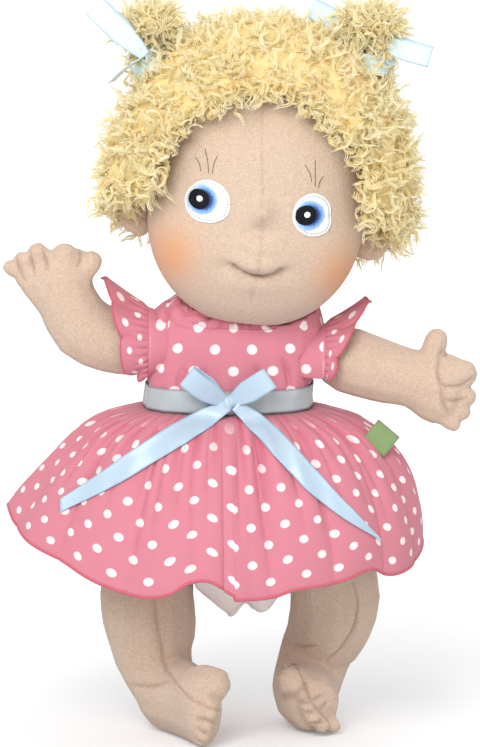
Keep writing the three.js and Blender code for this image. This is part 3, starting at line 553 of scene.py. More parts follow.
def outer_shell(node, pivot, way, radius):
    """The outside of a hollow CAD skin, closed over the round opening along `way` from the pivot."""
    shape = node_shape(node)
    pivot = Vector(pivot)
    way = Vector(way).normalized()

    def in_wall(face):
        for vert in face.verts:
            offset = vert.co - pivot
            along = offset.dot(way)
            if along < 0 or not 0.9 * radius < (offset - way * along).length < 1.01 * radius:
                return False
        return True

    bmesh.ops.delete(shape, geom=[face for face in shape.faces if in_wall(face)], context="FACES")
    groups = sorted(islands(shape), key=lambda group: sum(face.calc_area() for face in group))
    bmesh.ops.delete(shape, geom=[face for group in groups[:-1] for face in group], context="FACES")
    bmesh.ops.holes_fill(shape, edges=[edge for edge in shape.edges if edge.is_boundary])
    bmesh.ops.triangulate(shape, faces=shape.faces)
    return shape


def smooth_line(points, count):
    """Evenly spaced points on a smooth curve through the given ones."""
    given = np.asarray(points, float)
    padded = np.vstack([2 * given[0] - given[1], given, 2 * given[-1] - given[-2]])
    fine = []
    for i in range(1, len(padded) - 2):
        before, here, after, beyond = padded[i - 1 : i + 3]
        for t in np.linspace(0, 1, 24, endpoint=False):
            fine.append(
                0.5
                * (
                    2 * here
                    + (after - before) * t
                    + (2 * before - 5 * here + 4 * after - beyond) * t**2
                    + (3 * here - before - 3 * after + beyond) * t**3
                )
            )
    fine.append(given[-1])
    fine = np.array(fine)
    run = run_along(fine)
    wanted = np.linspace(0, run[-1], count)
    return np.stack([np.interp(wanted, run, fine[:, k]) for k in range(given.shape[1])], axis=1)


def tubes(lines, radii, sides=5):
    """Points, faces and the place along its line (0 to 1) of tubes round lines of equally many points."""
    lines = np.asarray(lines, float)
    count, steps, _ = lines.shape
    radii = np.broadcast_to(radii, (count, steps))
    along = unit(np.gradient(lines, axis=1), 1e-12)
    least = np.eye(3)[np.argmin(np.abs(along[:, 0]), axis=1)]
    first = unit(np.cross(along, least[:, None, :]), 1e-12)
    second = np.cross(along, first)
    turn = np.arange(sides) * 2 * np.pi / sides
    ring = (
        first[:, :, None] * np.cos(turn)[None, None, :, None]
        - second[:, :, None] * np.sin(turn)[None, None, :, None]
    )
    points = (lines[:, :, None] + ring * radii[:, :, None, None]).reshape(-1, 3)
    one = np.array(grid_faces(steps, sides, closed=True))
    faces = (one[None] + (np.arange(count) * steps * sides)[:, None, None]).reshape(-1, 4).tolist()
    place = np.tile(np.repeat(np.linspace(0, 1, steps), sides), count)
    return points, faces, place


def thread(name, lines, radius, material, body, sides=6):
    """Round threads along lines of equally many points, closed at both ends by their taper."""
    lines = np.asarray(lines, float)
    steps = lines.shape[1]
    taper = np.ones(steps)
    taper[0] = taper[-1] = 0.05
    points, faces, _ = tubes(lines, radius * taper[None, :], sides)
    return make_piece(name, points, faces, material, body)


# Places seen in the photograph

ACROSS = Vector((1, 0, 0))
LOOK = Vector((0, math.cos(math.radians(VIEW["elevation"])), -math.sin(math.radians(VIEW["elevation"]))))
UPWARD = LOOK.cross(ACROSS) * -1


def sight(pixel):
    """The line of sight through a pixel of the photograph: a point far in front, and the way it looks."""
    across = (pixel[0] - VIEW["origin"][0]) / VIEW["pixels_per_mm"] * MM
    up = (VIEW["origin"][1] - pixel[1]) / VIEW["pixels_per_mm"] * MM
    return ACROSS * across + UPWARD * up - LOOK, LOOK


def seen_on(tree, pixels, lift=0.0):
    """Where the lines of sight through pixels meet a surface, moved off it by `lift` millimetres."""
    found = []
    for pixel in pixels:
        start, way = sight(pixel)
        place, normal, _, _ = tree.ray_cast(start, way)
        if place is not None:
            found.append((place + normal * lift * MM) / MM)
    return np.array(found)


def press_lines(piece, lines, depth, width, tint):
    """Presses soft grooves into a piece along the photograph's lines, and stores painted shade for them as
    its line value.
    """
    tree = surface_of(piece)
    samples = []
    for line in lines:
        places = seen_on(tree, smooth_line(line, 80))
        ease = np.sin(np.linspace(0.12, 1, len(places)) * np.pi * 0.88) ** 0.5
        samples += list(zip(places, ease))
    nearest = KDTree(len(samples))
    for index, (place, _) in enumerate(samples):
        nearest.insert(place, index)
    nearest.balance()
    amounts = []

    def groove(place):
        _, index, away = nearest.find(place)
        amounts.append(samples[index][1] * math.exp(-((away / width) ** 2)))
        return -depth * amounts[-1]

    push_out(piece, groove)
    stored = piece.data.attributes.new("line", "FLOAT", "POINT")
    stored.data.foreach_set("value", (tint * np.array(amounts) ** 1.5).astype(np.float32))


# Head

TO_HEAD = Matrix.Translation(Vector(HEAD["centre"])) @ Matrix.Rotation(math.radians(HEAD["roll"]), 4, "Y")


def head_to_world(points):
    """Points of the head's own frame, in the doll's frame, in millimetres."""
    turn = np.array(TO_HEAD)
    return np.asarray(points, float) @ turn[:3, :3].T + turn[:3, 3]


def near_line(across, up, line):
    """How far points of the face lie from a drawn line."""
    nearest = np.full(across.shape, 1e9)
    fine = smooth_line(line, 120)
    for x, z in fine:
        nearest = np.minimum(nearest, np.hypot(across - x, up - z))
    return nearest


def head_points(ways, lift=0.0):
    """The head's surface in unit directions from its middle, in its own frame, with the face's relief."""
    n = HEAD["roundness"]
    size = np.sum(np.abs(ways) ** n, axis=1) ** (-1 / n)
    height = np.where(ways[:, 2] > 0, HEAD["crown"], HEAD["chin"])
    points = ways * size[:, None] * np.stack(
        [np.full(len(ways), HEAD["half_width"]), np.full(len(ways), HEAD["half_depth"]), height], axis=1
    )
    out = unit(points)
    across, up = points[:, 0], points[:, 2]
    rise = np.full(len(ways), lift)
    for x, z, wide, high, amount in FACE_RELIEF:
        rise += amount * np.exp(-(((across - x) / wide) ** 2) - ((up - z) / high) ** 2)
    for line, (depth, width) in ((MOUTH, MOUTH_GROOVE), (FACE_SEAM, SEAM_GROOVE)):
        rise -= depth * np.exp(-((near_line(across, up, line) / width) ** 2))
    depth, wide, high = MOUTH_CORNER
    for x, z in (MOUTH[0], MOUTH[-1]):
        rise -= depth * np.exp(-(((across - x) / wide) ** 2) - ((up - z) / high) ** 2)
    facing = np.clip(-out[:, 1] * 2.5, 0, 1)
    return points + out * (rise * facing)[:, None]


def make_head(material):
    """The stuffed fleece head, with its rosy cheeks, its drawn lines and the painted shade beside its mouth
    stored on its points.
    """
    rows, columns = HEAD["mesh"]
    theta = np.linspace(0.006, np.pi - 0.006, rows)
    phi = np.arange(columns) * 2 * np.pi / columns
    tall, turn = np.meshgrid(theta, phi, indexing="ij")
    ways = np.stack([np.sin(tall) * np.sin(turn), -np.sin(tall) * np.cos(turn), np.cos(tall)], axis=-1)
    local = head_points(ways.reshape(-1, 3))
    local[:, 2] = np.maximum(local[:, 2], HEAD["flat_chin"] - HEAD["chin"])
    front = local[:, 1] < 0
    across, up = local[:, 0], local[:, 2]
    blush_and_dent_shade = np.zeros(len(local))
    for x, z in BLUSH:
        away = ((across - x) / BLUSH_SIZE[0]) ** 2 + ((up - z) / BLUSH_SIZE[1]) ** 2
        blush_and_dent_shade += BLUSH_TINT * np.exp(-away)
    mouth = near_line(across, up, MOUTH)
    seam = near_line(across, up, FACE_SEAM)
    middle = 0.35 + 0.65 * np.exp(-(((across - 3.5) / 5.0) ** 2))
    line = np.zeros(len(local))
    drawn = ((STITCH_TINT, mouth, middle), (SHADE_TINT, mouth, 1), (SEAM_TINT, seam, 1))
    for (tint, width), away, share in drawn:
        line += tint * share * np.exp(-((away / width) ** 2))
    faces = capped_faces(rows, columns)
    values = {"blush_and_dent_shade": blush_and_dent_shade * front, "line": np.clip(line * front, 0, 1)}
    piece = make_piece("head", head_to_world(local), faces, material, "head", None, values)
    hand_over(piece, "skin", "head_skin", "head_stuffing")
    return piece


def on_face(tree, across, up, lift):
    """The place on the face at coordinates of the head's own frame, standing off it by `lift`."""
    start = TO_HEAD @ Vector((across, -200.0, up))
    way = TO_HEAD.to_3x3() @ Vector((0, 1, 0))
    place, normal, _, _ = tree.ray_cast(start * MM, way)
    return np.array(place / MM) + np.array(normal) * lift


def eye_reach(eye, turn):
    """How far the eye patch's outline lies from its middle in a direction, in degrees."""
    corners = sorted(((angle % 360), reach) for angle, reach in eye["reach"])
    angles = [angle for angle, _ in corners]
    reaches = [reach for _, reach in corners]
    angles = [angles[-1] - 360] + angles + [angles[0] + 360]
    reaches = [reaches[-1]] + reaches + [reaches[0]]
    return float(np.interp(turn % 360, angles, reaches))


def in_eye(eye, across, up, inset):
    """True where a place of the face lies inside the eye patch's outline."""
    dx, dz = across - eye["middle"][0], up - eye["middle"][1]
    return math.hypot(dx, dz) < eye_reach(eye, math.degrees(math.atan2(dz, dx))) - inset


def place_round(middle, reach, turn):
    """The place at a distance from a middle, at a turn in radians."""
    return middle[0] + reach * math.cos(turn), middle[1] + reach * math.sin(turn)


def disc_on_face(name, tree, centre, reach_at, lift, dome, material, rings=10, sectors=72):
    """A thin raised disc on the face with a sunk rim; reach_at(turn) is how far its outline lies out."""
    turns = [2 * math.pi * sector / sectors for sector in range(sectors)]
    outline = [reach_at(turn) for turn in turns]
    levels = [(ring / rings, lift + dome * math.sqrt(1 - (ring / rings) ** 4)) for ring in range(rings + 1)]
    points = []
    uv = []
    for share, height in levels + [(1.0, -RIM_SUNK)]:
        for sector, turn in enumerate(turns):
            points.append(on_face(tree, *place_round(centre, outline[sector] * share, turn), height))
            uv.append((sector / sectors, share))
    faces = grid_faces(rings + 2, sectors, closed=True)
    return make_piece(name, points, faces, material, "head", uv)


def make_eye(side, tree, looks):
    """A felt patch with its embroidered iris, pupil, glint, outline stitches and lashes."""
    eye = EYES[side]
    mid = eye["middle"]
    pupil = eye["pupil"]

    def patch_reach(turn):
        return eye_reach(eye, math.degrees(turn))

    def held_in(middle, radius, inset):
        """The reach of a round form that stays inside the patch's outline."""

        def reach_at(turn):
            reach = radius
            while reach > 1 and not in_eye(eye, *place_round(middle, reach, turn), inset):
                reach -= 0.1
            return reach

        return reach_at

    def near_edge(turn, inset, lift):
        return on_face(tree, *place_round(mid, patch_reach(turn) - inset, turn), lift)

    patch = disc_on_face(f"eye_patch_{side}", tree, mid, patch_reach, 0.3, 0.7, looks["felt"])
    hand_over(patch, "felt", f"eye_{side}")
    iris = (pupil[0] + IRIS["aside"], pupil[1])
    blue = held_in(iris, IRIS["radius"], 1.1)
    disc_on_face(f"iris_{side}", tree, iris, blue, 0.85, 0.35, looks["iris"])
    black = held_in(pupil, PUPIL, 0.9)
    disc_on_face(f"pupil_{side}", tree, pupil, black, 1.05, 0.45, looks["pupil"], 5, 48)
    glint = (pupil[0] + GLINT["offset"][0], pupil[1] + GLINT["offset"][1])
    disc_on_face(f"glint_{side}", tree, glint, lambda turn: GLINT["radius"], 1.4, 0.4, looks["glint"], 4, 24)
    stitches = []
    for k in range(EYE_STITCHES["count"]):
        turns = [2 * math.pi * (k + part) / EYE_STITCHES["count"] for part in EYE_STITCHES["parts"]]
        stitches.append([near_edge(turn, EYE_STITCHES["inset"], 1.0) for turn in turns])
    thread(f"eye_stitches_{side}", stitches, EYE_STITCHES["thread"], looks["navy_thread"], "head", 5)
    turns = [2 * math.pi * k / EYE_BORDER["steps"] for k in range(EYE_BORDER["steps"] + 1)]
    border = [near_edge(turn, EYE_BORDER["inset"], 0.45) for turn in turns]
    thread(f"eye_border_{side}", [border], EYE_BORDER["thread"], looks["felt"], "head")
    lashes = []
    for top, bottom in eye["lashes"]:
        sway = (top[0] - bottom[0]) * 0.25
        middle = ((top[0] + bottom[0]) / 2 - sway, (top[1] + bottom[1]) / 2)
        lashes.append(seen_on(tree, smooth_line([top, middle, bottom], 16), 0.12))
    thread(f"lashes_{side}", lashes, LASH_THREAD, looks["dark_thread"], "head", 5)


def make_ear(side, looks):
    """A stuffed ear with a rolled rim."""
    node = f"ear_{side}"
    ear = remeshed(f"ear_piece_{side}", node_shape(node), EAR["voxel"], EAR["rounds"], looks["head"], "head")
    for key in ("blush_and_dent_shade", "line"):
        ear.data.attributes.new(key, "FLOAT", "POINT")
    low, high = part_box(node)
    centre = (low + high) / 2
    wide, tall = EAR["dent_reach"]
    for vert in ear.data.vertices:
        offset = vert.co - centre
        dent = math.exp(-((offset.x / (wide * MM)) ** 2) - (offset.z / (tall * MM)) ** 2)
        if offset.y < 0:
            vert.co.y += EAR["dent"] * MM * dent
            # Painted shade: the dent turns rosier and darker the deeper it goes
            ear.data.attributes["blush_and_dent_shade"].data[vert.index].value = EAR["blush_and_dent_shade"] * dent
    hand_over(ear, "skin", node)


# Hair

CURLS = {
    "strands": 5,
    "steps": 11,
    "length": (7.5, 14.0),
    "turns": (0.5, 1.5),
    "radius": (1.3, 2.9),
    "thickness": (0.21, 0.36),
    "lean": (0.5, 1.3),
    "spread": 0.38,
    "own_size": (0.88, 1.12),
    "own_turn": 0.14,
}

# The wig and each bunch: locks and pieces, how deep under the CAD form its curls start, and their comb
WIG = {"locks": 3300, "parts": 4, "depth": 7.0, "comb": (0.0, 0.0, -0.15)}
BUNCH = {"locks": 380, "parts": 1, "depth": 6.5, "comb": (0.0, 0.0, 0.1)}
SEEDS = {"wig": 11, "right": 20, "left": 21}

# The dense base under the curls: size of the mesh, and how far it is sunk
WIG_BASE = {"voxel": 2.0, "sink": 4.2}
BUNCH_BASE = {"voxel": 1.6, "sink": 3.6}
BASE_BUMPS = {"height": 1.6, "scale": 0.13, "rounds": 5}
CLEAR_OF_HEAD = 2.5


def skin_samples(node, count, rng, keep):
    """Random places on a CAD node, even over its area, with their outward ways, where keep(place) holds."""
    shape = node_shape(node)
    bmesh.ops.triangulate(shape, faces=shape.faces)
    corners = np.array([[np.array(vert.co) / MM for vert in face.verts] for face in shape.faces])
    shape.free()
    cross = np.cross(corners[:, 1] - corners[:, 0], corners[:, 2] - corners[:, 0])
    area = np.linalg.norm(cross, axis=1)
    normals = cross / (area[:, None] + 1e-12)
    places = []
    ways = []
    while len(places) < count:
        pick = rng.choice(len(area), p=area / area.sum())
        a, b = rng.random(2)
        if a + b > 1:
            a, b = 1 - a, 1 - b
        corner, second, third = corners[pick]
        place = corner + a * (second - corner) + b * (third - corner)
        if keep(place):
            places.append(place)
            ways.append(normals[pick])
    return np.array(places), np.array(ways)


def curl_lines(places, ways, rng, depth, comb):
    """Lines of curly strands, several to a lock, that start `depth` under the places given."""
    count = len(places)
    side = rng.normal(size=(count, 3))
    side = unit(side - ways * np.sum(side * ways, axis=1, keepdims=True))
    lean = rng.uniform(*CURLS["lean"], (count, 1))
    axis = unit(ways + side * lean + comb)
    first = unit(np.cross(axis, ways), 1e-9)
    second = np.cross(axis, first)
    length = rng.uniform(*CURLS["length"], count)
    turns = rng.uniform(*CURLS["turns"], count) * rng.choice([-1, 1], count)
    radius = rng.uniform(*CURLS["radius"], count)
    phase = rng.uniform(0, 2 * np.pi, count)
    t = np.linspace(0, 1, CURLS["steps"])
    opening = 0.35 + 0.65 * np.sin(np.pi * np.clip(t * 1.2, 0, 1)) ** 0.7
    lines = []
    for _ in range(CURLS["strands"]):
        shift = rng.normal(scale=CURLS["spread"], size=(count, 3))
        own = rng.uniform(*CURLS["own_size"], count)
        wind = phase + rng.normal(scale=CURLS["own_turn"], size=count)
        angle = wind[:, None] + 2 * np.pi * turns[:, None] * own[:, None] * t[None]
        swell = radius[:, None] * own[:, None] * opening[None]
        line = (
            (places - ways * depth + shift)[:, None]
            + axis[:, None] * (length * own)[:, None, None] * t[None, :, None]
            + first[:, None] * (swell * np.cos(angle))[..., None]
            + second[:, None] * (swell * np.sin(angle))[..., None]
        )
        lines.append(line)
    return np.concatenate(lines)


def make_curls(name, node, facts, seed, material, keep):
    """Curly strands all over a CAD node, in one or more pieces that ride on the head."""
    rng = np.random.default_rng(seed)
    places, ways = skin_samples(node, facts["locks"], rng, keep)
    lines = curl_lines(places, ways, rng, facts["depth"], np.array(facts["comb"]))
    order = rng.permutation(len(lines))
    for part, chosen in enumerate(np.array_split(order, facts["parts"])):
        thickness = rng.uniform(*CURLS["thickness"], (len(chosen), 1))
        taper = np.linspace(1.0, 0.45, CURLS["steps"])[None]
        points, faces, along = tubes(lines[chosen], thickness * taper, sides=3)
        light = np.repeat(rng.uniform(-0.22, 0.25, len(chosen)), CURLS["steps"] * 3)
        # Darker gold toward the root, deep among the curls, is painted shade; the share drawn at random for
        # each strand is the hair's own tone
        tone = np.clip(0.20 + 0.60 * along + light, 0, 1)
        suffix = f"_{part + 1}" if facts["parts"] > 1 else ""
        piece = make_piece(f"{name}{suffix}", points, faces, material, "head", None, {"tone": tone})
        piece.data.shade_flat()


def hair_base(name, node, facts, looks):
    """The dense mass under the top curls: a CAD form of the hair, sunk by some millimetres and uneven."""
    base = remeshed(name, node_shape(node), facts["voxel"], BASE_BUMPS["rounds"], looks["hair_depths"], None)
    height, scale = BASE_BUMPS["height"], BASE_BUMPS["scale"]
    push_out(base, lambda place: height * noise.noise(place * scale) - facts["sink"])
    hand_over(base, "hair", node, body="head")


def make_wig(head_tree, looks):
    """The wig: a dense base with a layer of curls over it, and the two tied bunches."""

    def off_the_head(place):
        return head_tree.find_nearest(Vector(place) * MM)[3] > CLEAR_OF_HEAD * MM

    hair_base("wig_base", "wig_cap", WIG_BASE, looks)
    make_curls("wig_curls", "wig_cap", WIG, SEEDS["wig"], looks["hair"], off_the_head)
    for side in SIGN:
        node = f"hair_bunch_{side}"
        hair_base(f"bunch_base_{side}", node, BUNCH_BASE, looks)
        make_curls(f"bunch_curls_{side}", node, BUNCH, SEEDS[side], looks["hair"], lambda place: True)


# Ribbons


# Places across a ribbon, as shares of its width; a loop's steps, its pinch and how soon it opens
RIBBON_PARTS = np.linspace(-0.5, 0.5, 9)
LOOP = {"steps": 45, "pinch": 0.45, "opening": 2.2}


def ribbon_sheet(name, points, material, body, slot="satin", thickness=THICKNESS["ribbon"]):
    """A ribbon from rows of points across it, in millimetres; its UV runs along it and from edge to edge."""
    rows, columns, _ = points.shape
    run = run_along(points[:, columns // 2])
    uv = np.stack(np.meshgrid(run * MM, RIBBON_PARTS + 0.5, indexing="ij"), axis=-1)
    faces = grid_faces(rows, columns)
    piece = make_piece(name, points.reshape(-1, 3), faces, material, None, uv.reshape(-1, 2))
    thicken(piece, thickness)
    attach(piece, body)
    return piece


def ribbon(name, middles, sideways, width, material, body, **kind):
    """A ribbon along points in millimetres, with the way across it at each or for all, and its cut width."""
    middles = np.asarray(middles, float)
    sideways = np.broadcast_to(unit(sideways), middles.shape)
    widths = np.broadcast_to(width, len(middles))
    points = middles[:, None] + sideways[:, None] * (RIBBON_PARTS[None, :, None] * widths[:, None, None])
    return ribbon_sheet(name, points, material, body, **kind)


def loop_of_ribbon(name, root, out, side_way, reach, belly, width, material, body):
    """A bow's loop: out from the root and back, pinched in width at the root."""
    out = unit(out)
    side_way = unit(side_way)
    thick_way = np.cross(out, side_way)
    turn = np.pi * (0.03 + 1.94 * np.linspace(0, 1, LOOP["steps"]))
    forward = 0.5 * reach * (1 - np.cos(turn))
    apart = belly * np.sin(turn) * (0.30 + 0.70 * forward / reach)
    middles = np.asarray(root, float) + forward[:, None] * out + apart[:, None] * thick_way
    spread = np.clip(forward / reach * LOOP["opening"], 0, 1) ** 0.8
    widths = width * (LOOP["pinch"] + (1 - LOOP["pinch"]) * spread)
    return ribbon(name, middles, side_way, widths, material, body)


# Hair bows: how far back the knot lies, and the knot, loop ends and tail end as the photograph shows them.
# Each loop has its width, and how much further back than the knot it ends
HAIR_BOWS = {
    "right": {
        "depth": -19.0,
        "knot": (147, 60),
        "loops": [((97, 12), 10.0, -3.0), ((176, 48), 8.5, 26.0)],
        "tail": (113, 86),
        "lean": -7.5,
    },
    "left": {
        "depth": -10.0,
        "knot": (376, 46),
        "loops": [((428, 61), 9.0, -3.0), ((310, 11), 9.0, 17.0)],
        "tail": (392, 68),
        "lean": 6.5,
    },
}


# A hair bow's tail, its turn round the bunch, how far its loops belly, and the width of its ribbon
BOW_TAIL = {"sag": (-1.5, -1.0, 0.0), "sideways": (0.35, 0.94, 0.0), "width": 9.0, "steps": 24}
BOW_BAND = {"below": 11.0, "radius": 8.9, "width": 9.0, "steps": 49}
BOW_BELLY = 3.4


def middle_of(node):
    """The middle of a CAD node's box, in millimetres."""
    low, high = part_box(node)
    return np.array((low + high) / 2) / MM


def plane_place(pixel, y):
    """The place that shows at a pixel and lies at a depth y, in millimetres."""
    start, way = sight(pixel)
    return np.array(start + way * ((y * MM - start.y) / way.y)) / MM


def make_hair_bow(side, looks):
    """A ribbon tied round the neck of a bunch, with two loops and a loose tail."""
    facts = HAIR_BOWS[side]
    knot = plane_place(facts["knot"], facts["depth"])
    end = plane_place(facts["tail"], facts["depth"])
    satin = looks["hair_satin"]
    line = smooth_line([knot, (knot + end) / 2 + BOW_TAIL["sag"], end], BOW_TAIL["steps"])
    tail = ribbon(f"hair_bow_tail_{side}", line, BOW_TAIL["sideways"], BOW_TAIL["width"], satin, "head")
    band = bow_band(side, satin)
    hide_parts(f"hair_bow_{side}")
    for index, (tip, width, further) in enumerate(facts["loops"]):
        out = plane_place(tip, facts["depth"] + further) - knot
        reach = np.linalg.norm(out)
        across = np.cross(out, [0, 1, 0])
        name = f"hair_bow_loop_{side}_{index + 1}"
        loop = loop_of_ribbon(name, knot, out, across, reach, BOW_BELLY, width, satin, "head")


def bow_band(side, satin):
    """The ribbon's turn round the neck of a bunch, laid over the solid bow's band."""
    lean = math.radians(HAIR_BOWS[side]["lean"])
    axis = np.array([math.sin(lean), 0.0, math.cos(lean)])
    flat = np.array([axis[2], 0.0, -axis[0]])
    centre = middle_of(f"hair_bunch_{side}") - axis * BOW_BAND["below"]
    turns = np.linspace(0, 2 * math.pi, BOW_BAND["steps"])[:, None]
    middles = centre + BOW_BAND["radius"] * (np.cos(turns) * flat + np.sin(turns) * np.array([0, 1, 0]))
    return ribbon(f"hair_bow_band_{side}", middles, axis, BOW_BAND["width"], satin, "head")


# Body

LIMBS = {
    "arm_right": {"joint": "shoulder_right", "way": (1, 0, 0)},
    "arm_left": {"joint": "shoulder_left", "way": (-1, 0, 0)},
    "leg_right": {"joint": "hip_right", "way": (0, 0, 1)},
    "leg_left": {"joint": "hip_left", "way": (0, 0, 1)},
}

# The radius of the sewn opening of a limb and of the neck
OPENING = 8.0

# The sewn seams and the creases of the limbs, as the photograph shows them
SEAMS = {
    "leg_right": [
        [
            (154.4, 590), (157.7, 624), (162.3, 646.8), (165.7, 666), (173.6, 677), (183.7, 689.7),
            (195, 698), (221, 708.3),
        ],
    ],
    "leg_left": [
        [(352, 580), (357, 596), (356.5, 615), (350.3, 633), (339, 649), (326.6, 660)],
        [
            (281.5, 668), (293.9, 663.7), (300.6, 671.6), (305, 683), (309.7, 697.6), (316.5, 706.6),
            (330, 722),
        ],
    ],
}
CREASES = {
    "arm_right": [
        [(46, 251), (47.5, 258), (49, 265), (49.5, 271)],
        [(31, 251), (33, 260), (35.5, 268), (37, 276)],
        [(16.5, 253), (19, 263), (23, 272), (26, 280)],
        [(83, 247), (82.5, 255), (81.5, 262), (80, 267)],
    ],
    "arm_left": [
        [(441, 351), (437, 361), (436, 373), (440, 384), (450, 386), (462, 384), (471, 377)],
        [(447, 333), (451, 343), (449, 351), (443, 356)],
        [(440, 386), (440, 395), (442, 405), (447, 411)],
        [(441, 398), (452, 401), (464, 398)],
    ],
    "leg_right": [
        [(197.3, 715.7), (206, 717), (215.3, 720.7)],
        [(197.3, 725.8), (203, 729), (209.7, 732.6)],
        [(195, 736), (200, 739), (205, 741.5)],
        [(132, 684.5), (153, 685), (171, 679)],
    ],
    "leg_left": [
        [(321.6, 693), (316, 696), (311.5, 697.6)],
        [(327, 700), (323, 705), (319, 709)],
        [(294.5, 699), (303, 700.5), (310, 700)],
        [(303.5, 711), (309, 711), (313.7, 710)],
        [(309, 722.4), (316, 722), (322.7, 720)],
        [(293.9, 644.5), (305, 646.5), (315.3, 645.6)],
    ],
}


# The grooves' tint is painted shade along the limbs' seams and creases
LIMB_GROOVE = {"depth": 0.75, "width": 0.95, "tint": 0.42}
SEAM_THREAD = 0.22

# The size of each mesh and how often it is smoothed; and how the trunk leaves room for the thighs
LIMB_MESH = {"voxel": 0.9, "rounds": 14}
TRUNK_MESH = {"voxel": 1.8, "rounds": 4}
HIPS = {"below": 72, "drawn_in": 1.6}


def joint_facts(name):
    """A joint's place, in metres, and its axis."""
    joint = next(joint for joint in frame["joints"] if joint["name"] == name)
    return Vector(joint["pos_m"]), Vector(joint["axis"])


def make_limb(limb, looks):
    """A stuffed arm or leg with its sewn lines."""
    facts = LIMBS[limb]
    kind, side = limb.split("_")
    skin = f"{kind}_skin_{side}"
    shell = outer_shell(skin, joint_facts(facts["joint"])[0], facts["way"], OPENING * MM)
    piece = remeshed(limb, shell, LIMB_MESH["voxel"], LIMB_MESH["rounds"], looks["fleece"], limb)
    hand_over(piece, "skin", skin, f"{kind}_stuffing_{side}")
    seams = SEAMS.get(limb, [])
    # Grooves along the seams and creases, darkened with painted shade
    press_lines(piece, seams + CREASES[limb], **LIMB_GROOVE)
    for index, line in enumerate(seams):
        places = seen_on(surface_of(piece), smooth_line(line, 60), -0.05)
        thread(f"seam_{limb}_{index + 1}", [places], SEAM_THREAD, looks["seam"], limb)


def make_trunk(looks):
    """The stuffed trunk, which shows only at the neck and hips."""
    neck, axis = joint_facts("neck_turn")
    shell = outer_shell("trunk_skin", neck, axis, OPENING * MM)
    piece = remeshed("trunk", shell, TRUNK_MESH["voxel"], TRUNK_MESH["rounds"], looks["fleece"], None)
    push_out(piece, lambda place: -HIPS["drawn_in"] if place.z < HIPS["below"] else 0.0)
    hand_over(piece, "skin", "trunk_skin", "trunk_stuffing", body="trunk")
    return piece


# Dress

WRAP = {"middle": -3.0, "flatness": 1.55, "radius": 33.0}

# How each fitted piece is made from its CAD solid: growth of its wall, size of the mesh, smoothing
BODICE = {"grow": 0.35, "voxel": 0.6, "rounds": 8, "flat": (220.0, 55.0), "area": 8000.0}
# The tint of the bodice's fold grooves is painted shade
BODICE_GROOVE = {"depth": 1.3, "width": 1.5, "tint": 0.5}
UNDERPANTS = {"grow": 0.4, "voxel": 0.7, "rounds": 6, "flat": (240.0, 62.0), "area": 8500.0}


def wrap_uv(piece):
    """Lays a piece's UV map round the trunk, in metres: distance round it, and height."""
    layer = piece.data.uv_layers.get("cloth") or piece.data.uv_layers.new(name="cloth")
    places = np.zeros(len(piece.data.vertices) * 3)
    piece.data.vertices.foreach_get("co", places)
    corners = np.zeros(len(piece.data.loops), np.int32)
    piece.data.loops.foreach_get("vertex_index", corners)
    places = places.reshape(-1, 3)
    turn = np.arctan2(places[:, 0] - WRAP["middle"] * MM, -places[:, 1] * WRAP["flatness"])
    uv = np.stack([turn * WRAP["radius"] * MM, places[:, 2]], axis=1)
    layer.uv.foreach_set("vector", uv[corners].astype(np.float32).ravel())


# Folds of the bodice as the photograph shows them
BODICE_FOLDS = [
    [(182, 305), (188, 314), (195, 321), (205, 327)],
    [(171, 297), (168, 310), (166, 322), (165, 336)],
    [(178, 388), (180, 379), (183, 372)],
    [(205, 389), (206, 380), (205, 372)],
    [(262, 389), (260, 378), (256, 369)],
    [(290, 388), (288, 374), (283, 361)],
    [(309, 387), (306, 373), (301, 360)],
]


def fitted(name, node, facts, material):
    """A close-fitting piece of cloth, made from its CAD solid."""
    shape = node_shape(node, facts["grow"])
    return remeshed(name, shape, facts["voxel"], facts["rounds"], material, None)


def declare_fitted(piece, facts, **more):
    """Looks up the flat size of the sheet that a close-fitting piece is cut from, and does nothing with it.
    """
    wide, long = facts["flat"]


def make_bodice(looks):
    """The fitted bodice, with soft creases where the arms and the sash pull it, and painted shade in its
    folds.
    """
    piece = fitted("bodice_cloth", "bodice", BODICE, looks["dress"])

    def creases(place):
        pull = noise.noise(Vector((place.x * 0.09, place.y * 0.05, place.z * 0.03)) + Vector((3, 1, 7)))
        waist = math.exp(-(((place.z - 153) / 7) ** 2)) * math.sin(place.x * 0.8 + 2 * pull)
        return 0.5 * pull + 0.28 * waist

    push_out(piece, creases)
    press_lines(piece, BODICE_FOLDS, **BODICE_GROOVE)
    hand_over(piece, "dress", "bodice", body="trunk")
    wrap_uv(piece)
    return piece


COLLAR = {
    "centre": (1.5, -4.0),
    "inner": (15.0, 12.0),
    "outer": (34.0, 25.0),
    "clear_of_head": 1.2,
    "lift": 0.75,
    "lowest": 174.0,
    "head_turns": (-35, -20, 0, 20, 35),
    "gathers": 26,
    "gather_depth": 0.5,
    "tint": 0.45,
    "rim": 0.6,
    "mesh": (22, 240),
}

# How high the rays that look down on the shoulders start
ABOVE = 300


def head_gap(place, head_tree):
    """How far a place stays from the head as it turns on the neck."""
    neck, axis = joint_facts("neck_turn")
    gaps = []
    for degrees in COLLAR["head_turns"]:
        turn = Matrix.Rotation(math.radians(degrees), 3, axis)
        gaps.append(head_tree.find_nearest(neck + turn @ (place - neck))[3])
    return min(gaps)


